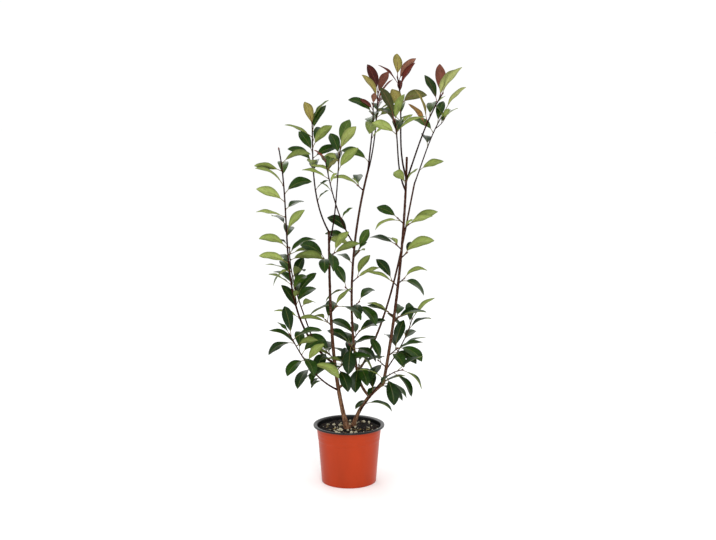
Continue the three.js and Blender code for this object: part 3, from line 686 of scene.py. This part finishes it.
class LeafPiece:
    """A piece of many leaves. Its bake map is an atlas with a cell for each side of each leaf."""

    def __init__(self, name, leaves):
        self.name, self.leaves, self.shape, self.materials = name, leaves, Shape(), []
        cells = 2 * len(leaves)
        self.columns = max(1, round(math.sqrt(cells / 2.4)))
        self.rows = math.ceil(cells / self.columns)

    def slot_of(self, material):
        if material not in self.materials:
            self.materials.append(material)
        return self.materials.index(material)

    def cell(self, number, place, local):
        """Places local coordinates, 0 to 1, at a place in a cell of the atlas."""
        column, row = number % self.columns, number // self.columns
        scale, shift = CELL[place]
        local = local * scale + shift
        return np.stack([(column + local[..., 0]) / self.columns, (row + local[..., 1]) / self.rows], -1)

    def add(self, number, leaf):
        rng = random.Random(f"{self.name} {number}")
        upper, under, stalk = colours_of(leaf, rng)
        rows = BLADE.small_rows if leaf.letter.lower() in SMALL else BLADE.rows
        pattern = PATTERNS[rows]
        slots = np.where(pattern.is_under, self.slot_of(under), self.slot_of(upper))
        cells = np.repeat(2 * number + pattern.is_under, 4)
        atlas = self.cell(cells, "blade", pattern.cell_map)
        points = blade_points(leaf, rows, rng)
        self.shape.add(points, [pattern.faces], slots, leaf=pattern.leaf_map, OFBake=atlas)
        points, faces = stalk_tube(leaf)
        spot = 0.5 + ring(0.5, STALK.sides)[:, :2]
        own = {"skin": stalk_skin(faces[0]), "foot": spot, "end": spot}
        atlas = [self.cell(2 * number, place, local) for place, local in own.items()]
        own, atlas = np.concatenate([*own.values()]), np.concatenate(atlas)
        self.shape.add(points, faces, self.slot_of(stalk), leaf=own, OFBake=atlas)

    def make(self):
        for number, leaf in enumerate(self.leaves):
            self.add(number, leaf)
        return self.shape.make(self.name, self.materials, sharp=65)


# ---- Buds ----

BUD = Sizes(
    sides=8,
    rings=7,
    scales=5,  # how many half waves of overlapping scales it has
    axil=(3.4, 1.05),  # length and radius of one above a leaf
    end=(7.5, 2.2),  # and of one at a shoot's tip
    lift=1.6,  # how far above its leaf one stands
    lean=0.55,
)


def bud_points(root, along, length, radius):
    """A pointed bud of overlapping scales, as rings that step in and out."""
    run = np.linspace(0, 1, BUD.rings)
    scales = 1 + 0.1 * np.cos(run * BUD.scales * math.pi)
    girth = radius * np.maximum(np.sin(math.pi * (0.22 + 0.78 * run)) ** 0.8 * scales, 0.06)
    centre = root + run[:, None] * length * along
    girth = np.repeat(girth[:, None], BUD.sides, 1)
    return tube(rings_on(centre, np.repeat(along[None], len(run), 0), girth))


def make_buds(masses):
    shape = Shape()
    for mass in masses:
        limb = mass.limb
        away = SPUR.radius[1] if "hour" in mass.plan else float(limb.radius_at(0.6))
        for leaf in mass.leaves:
            level = heading(leaf.hour, 90)
            root = leaf.root + level * away + UP * BUD.lift
            shape.add(*bud_points(root, unit(level * BUD.lean + UP), *BUD.axil))
        shape.add(*bud_points(limb.point(1) - limb.tangent(1), limb.tangent(1), *BUD.end))
    placed(shape.make("buds", [bud_red], sharp=80), "young_bark", *(m.node for m in masses))


# ---- Materials ----


def linear(colour, towards=0, share=0):
    """A colour given as it looks, 0 to 255, and moved by a share towards a grey, as the shader's numbers."""
    colour = [(c + (towards - c) * share) / 255 for c in colour]
    return *(c / 12.92 if c <= 0.04045 else ((c + 0.055) / 1.055) ** 2.4 for c in colour), 1.0


class Look:
    """A Principled material and the few kinds of node that these looks are made of."""

    def __init__(self, name, roughness, specular=0.5):
        self.material = bpy.data.materials.new(name)
        self.material.use_nodes = True
        self.tree = self.material.node_tree
        self.sockets = self.tree.nodes["Principled BSDF"].inputs
        self.set("Roughness", roughness)
        self.set("Specular IOR Level", specular)
        self.places = self.node("TexCoord").outputs["Object"]

    def feed(self, socket, value):
        if isinstance(value, bpy.types.NodeSocket):
            self.tree.links.new(value, socket)
        else:
            socket.default_value = value

    def set(self, socket, value):
        self.feed(self.sockets[socket], value)

    def node(self, kind, **inputs):
        """A new node, whose inputs are numbers or the outputs of other nodes."""
        node = self.tree.nodes.new(f"ShaderNode{kind}")
        for name, value in inputs.items():
            self.feed(node.inputs[name.replace("_", " ")], value)
        return node

    def math(self, operation, *values):
        node = self.node("Math")
        node.operation = operation
        for socket, value in zip(node.inputs, values):
            self.feed(socket, value)
        return node.outputs[0]

    def plus(self, a, b):
        return self.math("ADD", a, b)

    def times(self, a, b):
        return self.math("MULTIPLY", a, b)

    def parts(self, vector):
        return self.node("SeparateXYZ", Vector=vector).outputs

    def stretched(self, upright):
        """The places with their heights multiplied."""
        return self.node("Mapping", Vector=self.places, Scale=(1, 1, upright)).outputs[0]

    def noise(self, scale, detail=3, vector=None, rough=0.55):
        place = vector or self.places
        return self.node("TexNoise", Vector=place, Scale=scale, Detail=detail, Roughness=rough).outputs["Fac"]

    def spread(self, value, low, high, to_low=0.0, to_high=1.0):
        ends = {"From_Min": low, "From_Max": high, "To_Min": to_low, "To_Max": to_high}
        return self.node("MapRange", Value=value, **ends).outputs[0]

    def mix(self, share, a, b):
        node = self.node("Mix")
        node.data_type = "RGBA"
        for socket, value in zip((s for s in node.inputs if s.enabled), (share, a, b)):
            self.feed(socket, value)
        return next(s for s in node.outputs if s.enabled)

    def bump(self, height, strength, distance):
        self.set("Normal", self.node("Bump", Height=height, Strength=strength, Distance=distance).outputs[0])


# The two sides of a blade: how far its veins are paler and its patches deeper than its colour, how dark its
# edge is, its roughness, and its relief.
UPPER = Sizes(plain=0.3, specular=0.14, paler=0.14, deeper=0.28, edge=0.5, roughness=(0.24, 0.4),
              veins=-0.5, bump=0.25)
UNDER = Sizes(plain=0.5, specular=0.08, paler=0.2, deeper=0.14, edge=0.8, roughness=(0.5, 0.66),
              veins=0.5, bump=0.35)


def leaf_look(name, colour, side):
    """A blade's face: glossy and dark above, matt and paler below, with its veins picked out."""
    look = Look(name, side.plain, side.specular)
    uv = look.node("UVMap")
    uv.uv_map = "leaf"
    along, across, _ = look.parts(uv.outputs[0])
    off = look.times(look.math("ABSOLUTE", look.math("SUBTRACT", across, 0.5)), 2.0)
    place = look.math("SUBTRACT", look.times(along, BLADE.veins), look.times(off, BLADE.slant))
    veins = look.spread(look.math("PINGPONG", place, 0.5), 0.0, 0.09, 1.0, 0.0)
    veins = look.times(veins, look.spread(off, 0.45, 1.0, 0.55, 0.1))
    veins = look.math("MAXIMUM", veins, look.spread(off, 0.03, 0.09, 0.9, 0.0))
    mottle = look.noise(90.0, 4)
    ground = look.mix(look.spread(mottle, 0.3, 0.7), linear(colour, 0, side.deeper), linear(colour))
    ground = look.mix(look.spread(off, 0.5, 1.0, 0.0, side.edge), ground, linear(colour, 0, 0.34))
    look.set("Base Color", look.mix(veins, ground, linear(colour, 200, side.paler)))
    look.set("Roughness", look.spread(mottle, 0.2, 0.8, *side.roughness))
    pores = look.times(look.noise(2600.0, 2), 0.25)
    look.bump(look.plus(look.times(veins, side.veins), pores), side.bump, 0.0004)
    return look.material


def stalk_look(name, colour, blush):
    look = Look(name, 0.42, 0.25)
    share = look.spread(look.noise(160.0), 0.35, 0.65)
    look.set("Base Color", look.mix(share, linear(colour), linear(blush)))
    look.bump(look.noise(1400.0, 2), 0.2, 0.0003)
    return look.material


def bark_look(name, low, high, fissure, speckle, heights):
    """Bark that goes from one colour at the foot to another above, with fine cracks and pale lenticels."""
    look = Look(name, 0.72, 0.03)
    ground = look.mix(look.spread(look.parts(look.places)[2], *heights), linear(low), linear(high))
    grain = look.noise(420.0, 4, look.stretched(0.16))
    ground = look.mix(look.spread(grain, 0.38, 0.62), linear(fissure), ground)
    spots = look.node("TexVoronoi", Vector=look.stretched(0.55), Scale=330.0).outputs["Distance"]
    lenticels = look.spread(spots, 0.16, 0.3, 1.0, 0.0)
    look.set("Base Color", look.mix(look.times(lenticels, speckle), ground, linear(low, 200, 0.45)))
    look.set("Roughness", look.spread(grain, 0.3, 0.7, 0.82, 0.6))
    look.bump(look.plus(grain, look.times(lenticels, 0.6)), 0.55, 0.0008)
    return look.material


def plastic_look(name, colour, worn, roughness, streaks, gloss):
    """Moulded plastic: faint flow streaks, fine grain, and scuffs that are paler and rougher."""
    look = Look(name, roughness, gloss)
    flow = look.noise(16.0, 4, look.stretched(streaks))
    grain = look.noise(1900.0, 2)
    ground = look.mix(look.spread(flow, 0.3, 0.7), linear(colour, 0, 0.1), linear(colour))
    scuffs = look.spread(look.noise(130.0, 5, look.stretched(7.0), 0.7), 0.62, 0.74, 0.0, 0.3)
    look.set("Base Color", look.mix(scuffs, ground, linear(worn)))
    grained = look.spread(grain, 0.3, 0.7, roughness - 0.05, roughness + 0.05)
    look.set("Roughness", look.plus(grained, look.times(scuffs, 0.4)))
    look.bump(look.plus(look.times(grain, 0.4), flow), 0.12, 0.0006)
    return look.material


def crumb_look(name, dark, light, scale, roughness=0.9):
    """Loose stuff: two colours in patches, with a rough grain."""
    look = Look(name, roughness, 0.2)
    patches = look.spread(look.noise(scale, 5, rough=0.7), 0.35, 0.65)
    look.set("Base Color", look.mix(patches, linear(dark), linear(light)))
    look.bump(look.noise(scale * 4, 4, rough=0.75), 0.8, 0.0015)
    return look.material


# Each tint: the upper face, the underside, and the stalk that goes with it.
TINTS = {
    "deep": ((17, 44, 2), (108, 122, 58), "green"),
    "mid": ((34, 64, 7), (131, 146, 73), "green"),
    "fresh": ((60, 88, 22), (147, 161, 85), "green"),
    "f": ((74, 100, 32), (148, 158, 86), "green"),  # fresh green
    "p": ((122, 138, 66), (158, 164, 98), "green"),  # pale, just hardened
    "y": ((112, 98, 44), (152, 140, 74), "red"),  # olive yellow
    "o": ((128, 80, 34), (150, 112, 58), "red"),  # orange brown
    "b": ((60, 64, 26), (108, 108, 58), "red"),  # bronze green
    "s": ((116, 64, 48), (142, 94, 74), "red"),  # salmon
    "r": ((84, 28, 16), (120, 54, 36), "red"),  # red brown
    "m": ((68, 16, 8), (96, 36, 24), "red"),  # maroon
    "k": ((34, 56, 16), (130, 62, 50), "red"),  # green above and rosy below
}
STALKS = {"green": ((106, 104, 46), (92, 62, 36)), "red": ((108, 50, 36), (76, 24, 22))}
MATURE = ["deep", "deep", "mid", "mid", "fresh"]
GREENING = Sizes(chance=0.72, height=0.3, crown=800)  # what chance and height add to a leaf's place in MATURE
LEAF_LOOKS = {
    tint: (leaf_look(f"leaf_{tint}", upper, UPPER), leaf_look(f"leaf_{tint}_under", under, UNDER), stalk)
    for tint, (upper, under, stalk) in TINTS.items()
}
STALK_LOOKS = {name: stalk_look(f"stalk_{name}", *colours) for name, colours in STALKS.items()}

bark = bark_look("bark", (134, 98, 72), (54, 24, 16), (58, 35, 24), 0.5, (0.16, 0.5))
young_bark = bark_look("young_bark", (68, 31, 18), (36, 9, 5), (20, 7, 5), 0.15, (0.2, 0.7))
twig_bark = bark_look("twig_bark", (72, 30, 18), (42, 11, 7), (22, 8, 6), 0.12, (0.2, 0.8))
bud_red = stalk_look("bud_red", (94, 36, 28), (66, 44, 26))
terracotta = plastic_look("terracotta", (168, 52, 14), (184, 78, 42), 0.34, 0.35, gloss=0.17)
black_plastic = plastic_look("black_plastic", (9, 9, 10), (50, 49, 48), 0.3, 0.6, gloss=0.3)
soil = crumb_look("soil", (5, 4, 3), (20, 14, 10), 240.0)
chip = crumb_look("chip", (14, 9, 7), (50, 34, 25), 300.0, 0.8)
stone = crumb_look("stone", (150, 138, 106), (208, 202, 180), 380.0, 0.75)
straw = crumb_look("straw", (120, 98, 56), (166, 146, 98), 260.0, 0.7)


def colours_of(leaf, rng):
    """The looks of a leaf: its own tint, or one of the greens, which are deeper low down."""
    tint = leaf.tint
    if not tint:
        height = (leaf.root[2] - SOIL_TOP) / GREENING.crown
        number = int(len(MATURE) * max(0, GREENING.chance * rng.random() + GREENING.height * height))
        tint = MATURE[min(len(MATURE) - 1, number)]
    upper, under, stalk = LEAF_LOOKS[tint]
    return upper, under, STALK_LOOKS[stalk]


# ---- Leaf pieces ----

YOUNG = set("pyobsrmk")  # the tints that go into a piece of their own
SIDES = {  # each other piece, and how the names of its masses begin
    "leaves_left": ("left", "far", "low_left"),
    "leaves_middle": ("middle", "back_low"),
    "leaves_right": ("right", "low_right"),
}


def make_leaves(masses):
    """Leaves in pieces by kind and by side of the plant, each under the limit on triangles."""
    leaves = {name: [] for name in (*SIDES, "leaves_young")}
    nodes = {name: set() for name in leaves}
    for mass in masses:
        side = next(name for name, starts in SIDES.items() if mass.plan["name"].startswith(starts))
        for leaf in mass.leaves:
            name = "leaves_young" if leaf.tint in YOUNG else side
            leaves[name].append(leaf)
            nodes[name].add(mass.node)
    for name in leaves:
        placed(LeafPiece(name, leaves[name]).make(), "leaf", *sorted(nodes[name]))


# ---- Pot ----

LATHE_SIDES = 192
GROOVE = Sizes(depth=0.28, reach=1.1)
HUB = Sizes(radius=3, depth=0.3, under=0.6)  # the moulding gate's small pit in the middle of the floor
INNER_ROUND = 4  # where the wall meets the floor


def lathe(profile):
    """A turned body from a closed outline of (radius, height), none of it on the axis: points and faces."""
    points = np.array([ring(radius, LATHE_SIDES) + UP * height for radius, height in profile])
    faces = grid_faces(len(profile) + 1, LATHE_SIDES, closed=True) % (len(profile) * LATHE_SIDES)
    return points.reshape(-1, 3), faces[:, ::-1]


def arc(centre, radius, start, end, steps=6):
    """Points on an arc, with angles in degrees from +radius towards +height."""
    turns = np.radians(np.linspace(start, end, steps))
    return [(centre[0] + radius * math.cos(a), centre[1] + radius * math.sin(a)) for a in turns]


def eased(a, b, steps=7):
    """A smooth step between two points of an outline."""
    return [(a[0] + (b[0] - a[0]) * (0.5 - 0.5 * math.cos(math.pi * s)), a[1] + (b[1] - a[1]) * s)
            for s in np.linspace(0, 1, steps)]


def wall_radius(height):
    """The radius of the wall's outer face at a height."""
    heights = [0, POT.neck_height, POT.shoulder_height, POT.height - POT.lip_height]
    radii = [POT.base_radius, POT.neck_radius, POT.shoulder_radius, POT.top_radius]
    return np.interp(height, heights, radii)


def groove(height):
    """A fine ring pressed into the wall's outer face."""
    depth, reach = GROOVE.depth, GROOVE.reach
    return [(wall_radius(h) - inwards, h) for h, inwards in
            ((height - reach, 0), (height, depth), (height + reach, 0))]


def cut(piece, cutter):
    """Cuts one mesh from another and drops the cutter."""
    modifier = piece.modifiers.new("cut", "BOOLEAN")
    modifier.operation, modifier.solver, modifier.object = "DIFFERENCE", "EXACT", cutter
    bpy.context.view_layer.update()
    mesh = bpy.data.meshes.new_from_object(piece.evaluated_get(bpy.context.evaluated_depsgraph_get()))
    piece.modifiers.clear()
    piece.data = mesh
    bpy.data.objects.remove(cutter)


def pegs(count, circle, radius, half_height, phase):
    """Round pegs in a circle, standing through the ground plane, as one cutter."""
    shape = Shape()
    for k in range(count):
        turn = 2 * math.pi * (k + phase) / count
        outline = ring(radius, 24) + [circle * math.cos(turn), circle * math.sin(turn), 0]
        shape.add(*tube(np.stack([outline - UP * half_height, outline + UP * half_height])))
    return shape.make("pegs", [])


def make_pot():
    """The wall and floor, terracotta outside and black inside, and the black lip on them."""
    base, wall, floor, top = POT.base_radius, POT.wall, POT.floor, POT.height - POT.lip_height
    neck = (POT.neck_radius, POT.neck_height)
    shoulder = (POT.shoulder_radius, POT.shoulder_height)
    outside = [(base - 1.6, 0), (base - 0.6, 0.25), (base, 1.2), (base + 0.35, 6), *eased(neck, shoulder)]
    for height in POT.grooves:
        outside += groove(height)
    outside.append((POT.top_radius, top))
    inside = [(POT.top_radius - wall, top), *((r - wall, h) for r, h in reversed(eased(neck, shoulder)))]
    inside += arc((base - wall - INNER_ROUND, floor + INNER_ROUND), INNER_ROUND, 0, -90)
    hub, under, pit = HUB.radius, HUB.under, floor - HUB.depth
    points, faces = lathe([*outside, *inside, (hub + 1, floor), (hub, pit), (hub, under), (hub + 1, 0)])
    black_from, black_to = (len(outside) - 1) * LATHE_SIDES, (len(outside) + len(inside) + 2) * LATHE_SIDES
    is_black = (faces.min(1) >= black_from) & (faces.max(1) < black_to)
    plug = ring(hub, 24)
    shape = Shape().add(points, [faces], is_black.astype(int))
    shape.add(*tube(np.stack([plug + UP * under, plug + UP * pit])))
    piece = shape.make("pot_wall", [terracotta, black_plastic], sharp=40)
    cut(piece, pegs(POT.drains, POT.drain_circle, POT.drain_radius, 3 * floor, 0))
    circle = base + POT.notch_radius - wall / 2
    cut(piece, pegs(POT.notches, circle, POT.notch_radius, POT.notch_height, 0.5))
    placed(piece, "pot_wall", "pot_shell")

    high, low = POT.height, top + GAP
    inner, outer = POT.top_radius - wall, POT.rim_radius
    lip = [(inner, low), (outer - 3.2, low), (outer - 2.5, low - 0.5)]
    lip += arc((outer - 1.3, high - 3.7), 1.3, -90, 0)
    lip += arc((outer - 1.9, high - 1.9), 1.9, 0, 90, 9)
    lip += [(outer - 3.6, high - 0.1), (outer - 6.2, high - 0.9), (outer - 8.2, high - 1.7)]
    lip += arc((inner + 1.0, high - 3.2), 1.0, 100, 180)
    points, faces = lathe(lip)
    placed(Shape().add(points, [faces]).make("pot_lip", [black_plastic], sharp=55), "pot_lip", "pot_rim")


# ---- Compost ----

COMPOST = Sizes(
    rings=46,
    sectors=150,
    clear=9,  # nothing loose lies closer than this to the middle of a trunk
    crumbs=((0.09, 1.7), (0.23, 1.3), (0.55, 0.9)),  # the scale and the height of each kind
    heap=(2.4, 260),  # height round a trunk, and how wide it is, squared
    sunk=2.4,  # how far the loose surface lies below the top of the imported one
    dip=2.2,  # how much lower it is at the wall
    seed=41,
)
# What lies on it: how many, how clear of the wall, how far it may tilt, in radians, and how high its middle
# lies, which for a stone is a share of its radius. A flake's width is a share of its length.
FLAKE = Sizes(count=340, clear=6, tilt=0.5, lift=0.7, length=(4, 13), width=(0.35, 0.7), height=(1.2, 3.2),
              corners=14)
STONE = Sizes(count=64, clear=6, tilt=0.6, lift=0.35, small=(1.0, 2.4), large=(2.8, 5.0), share_small=0.72,
              bumps=0.34)
STRAW = Sizes(count=26, clear=14, tilt=0.25, lift=1.0, length=(7, 20), radius=(0.5, 1.0), sides=5, rings=7,
              curl=8, arch=1.2)


def compost_radius():
    """The compost's radius where it meets the wall, a little lower than in the middle."""
    return wall_radius(SOIL_TOP - 6) - POT.wall - 2 * GAP


def ground_height(x, y):
    """The height of the loose surface: crumbs on crumbs, heaped round the stems and low at the wall."""
    crumbs = sum(height * noise.noise(Vector((x, y, 0)) * scale) for scale, height in COMPOST.crumbs)
    height, width = COMPOST.heap
    heap = sum(height * math.exp(-math.dist((x, y), p["at"]) ** 2 / width) for p in TRUNKS)
    out = math.hypot(x, y) / compost_radius()
    return SOIL_TOP - COMPOST.sunk + crumbs + heap - COMPOST.dip * out ** 6


def make_compost():
    inset, bottom, sectors = POT.wall + 2 * GAP, POT.floor + GAP, COMPOST.sectors
    rows = []
    for radius in np.linspace(1, compost_radius(), COMPOST.rings):
        row = ring(radius, sectors)
        row[:, 2] = [ground_height(x, y) for x, y, _ in row]
        rows.append(row)
    for radius, height in ((POT.shoulder_radius - inset, POT.shoulder_height),
                           (POT.neck_radius - inset, POT.neck_height),
                           (POT.base_radius - inset, bottom), (1, bottom)):
        rows.append(ring(radius, sectors) + UP * height)
    shape = Shape().add(*tube(np.array(rows)[::-1]))
    placed(shape.make("compost", [soil], sharp=70), "compost", "potting_mix")


def scattered(rng, kind):
    """Places all over the compost, clear of the trunks and of the wall."""
    found = []
    limit = compost_radius() - kind.clear
    while len(found) < kind.count:
        radius, turn = limit * math.sqrt(rng.random()), rng.uniform(0, 2 * math.pi)
        place = (radius * math.cos(turn), radius * math.sin(turn))
        if all(math.dist(place, p["at"]) > COMPOST.clear for p in TRUNKS):
            found.append(place)
    return found


def laid(points, rng, tilt, x, y, height):
    """Points turned by any angle about the upright and by small ones off it, and put on the compost."""
    turn, roll, pitch = rng.uniform(0, 2 * math.pi), rng.uniform(-tilt, tilt), rng.uniform(-tilt, tilt)
    spin = np.array(Euler((roll, pitch, turn), "YXZ").to_matrix())
    return points @ spin.T + [x, y, ground_height(x, y) + height]


def taken(mesh):
    """A bmesh's points and faces. The bmesh is freed."""
    mesh.verts.index_update()
    points = np.array([v.co for v in mesh.verts])
    faces = np.array([[v.index for v in f.verts] for f in mesh.faces])
    mesh.free()
    return points, faces


def shard(rng, *sizes):
    """A broken flake of bark: the hull of a few points in a box."""
    mesh = bmesh.new()
    for _ in range(FLAKE.corners):
        mesh.verts.new([rng.uniform(-0.5, 0.5) * size for size in sizes])
    hull = bmesh.ops.convex_hull(mesh, input=mesh.verts)
    loose = {g for g in hull["geom_interior"] + hull["geom_unused"] if isinstance(g, bmesh.types.BMVert)}
    bmesh.ops.delete(mesh, geom=list(loose), context="VERTS")
    return taken(mesh)


def ball():
    mesh = bmesh.new()
    bmesh.ops.create_icosphere(mesh, subdivisions=3, radius=1)
    return taken(mesh)


def lump(rng, points):
    """A rounded grain: a ball's points with bumps and proportions of its own."""
    shift = Vector([rng.uniform(-9, 9) for _ in range(3)])
    bumps = np.array([1 + STONE.bumps * noise.noise(Vector(p) * 1.5 + shift) for p in points])
    return points * bumps[:, None] * [rng.uniform(0.75, 1.2), rng.uniform(0.75, 1.2), rng.uniform(0.6, 0.9)]


def make_crumbs():
    """What lies loose on the compost: flakes of bark, pale grit and bits of straw."""
    rng = random.Random(COMPOST.seed)
    flakes, stones, straws = Shape(), Shape(), Shape()
    for x, y in scattered(rng, FLAKE):
        length = rng.uniform(*FLAKE.length)
        points, faces = shard(rng, length, length * rng.uniform(*FLAKE.width), rng.uniform(*FLAKE.height))
        flakes.add(laid(points, rng, FLAKE.tilt, x, y, FLAKE.lift), [faces])
    smooth, faces = ball()
    for x, y in scattered(rng, STONE):
        radius = rng.uniform(*(STONE.small if rng.random() < STONE.share_small else STONE.large))
        points = lump(rng, smooth) * radius
        stones.add(laid(points, rng, STONE.tilt, x, y, radius * STONE.lift), [faces])
    for x, y in scattered(rng, STRAW):
        length, radius = rng.uniform(*STRAW.length), rng.uniform(*STRAW.radius)
        run = np.linspace(-0.5, 0.5, STRAW.rings)
        aside, up = STRAW.curl * rng.uniform(-1, 1) * run ** 2, STRAW.arch * (0.25 - run ** 2)
        centre = np.stack([run * length, aside, up], -1)
        along = unit(np.gradient(centre, axis=0))
        points, faces = tube(rings_on(centre, along, np.full((STRAW.rings, STRAW.sides), radius)))
        straws.add(laid(points, rng, STRAW.tilt, x, y, STRAW.lift), faces)
    for shape, name, look, sharp in ((flakes, "bark_chips", chip, 25), (stones, "grit", stone, 80),
                                     (straws, "straw", straw, 60)):
        placed(shape.make(name, [look], sharp=sharp), "compost", "potting_mix")


# ---- Stage, light and camera ----

CAMERA = Sizes(place=(0.0243, -3.0, 0.985), down=7.85, focal_pixels=1152, width_pixels=716, sensor=36.0)
FLOOR_SIDE = 120.0
SKY_STRENGTH = 1.03
LIGHTS = {  # place, the point that it faces, power, width and height
    "key": ((0.5, -3.0, 2.3), (0, 0, 0.6), 34, 1.1, 1.1),
    "strip": ((-0.05, -3.4, 0.7), (0, 0, 0.2), 19, 0.3, 2.2),
    "fill": ((-2.4, -1.8, 1.4), (0, 0, 0.6), 5, 1.8, 1.8),
    "back": ((-0.8, 2.6, 2.4), (0, 0, 0.6), 14, 1.6, 1.6),
}


def added(name, data):
    """A new object in the scene."""
    thing = bpy.data.objects.new(name, data)
    bpy.context.scene.collection.objects.link(thing)
    return thing


def make_stage():
    half = FLOOR_SIDE / 2
    mesh = bpy.data.meshes.new("floor")
    corners = [(-half, -half, 0), (half, -half, 0), (half, half, 0), (-half, half, 0)]
    mesh.from_pydata(corners, [], [(0, 1, 2, 3)])
    look = Look("pale_floor", 0.9)
    share = look.spread(look.noise(3.0, 2), 0.3, 0.7)
    look.set("Base Color", look.mix(share, (0.982, 0.982, 0.982, 1), (0.995, 0.995, 0.995, 1)))
    mesh.materials.append(look.material)
    added("floor", mesh)


def make_studio():
    world = bpy.data.worlds.new("studio")
    bpy.context.scene.world = world
    world.use_nodes = True
    sky = world.node_tree.nodes["Background"]
    sky.inputs["Color"].default_value = (1, 1, 1, 1)
    sky.inputs["Strength"].default_value = SKY_STRENGTH
    for name, (place, target, power, width, height) in LIGHTS.items():
        data = bpy.data.lights.new(name, "AREA")
        data.shape, data.size, data.size_y, data.energy = "ELLIPSE", width, height, power
        light = added(name, data)
        light.location = place
        light.rotation_euler = (Vector(target) - Vector(place)).to_track_quat("-Z", "Y").to_euler()
    data = bpy.data.cameras.new("camera")
    data.sensor_width = CAMERA.sensor
    data.lens = CAMERA.focal_pixels / CAMERA.width_pixels * CAMERA.sensor
    camera = added("camera", data)
    camera.location = CAMERA.place
    camera.rotation_euler = (math.radians(90 - CAMERA.down), 0, 0)
    bpy.context.scene.camera = camera
    bpy.context.scene.view_settings.view_transform = "Standard"


# ---- Making everything ----

limbs, masses = grow()
make_bark(limbs)
make_twigs(masses)
make_buds(masses)
make_leaves(masses)
make_pot()
make_compost()
make_crumbs()
make_stage()
make_studio()
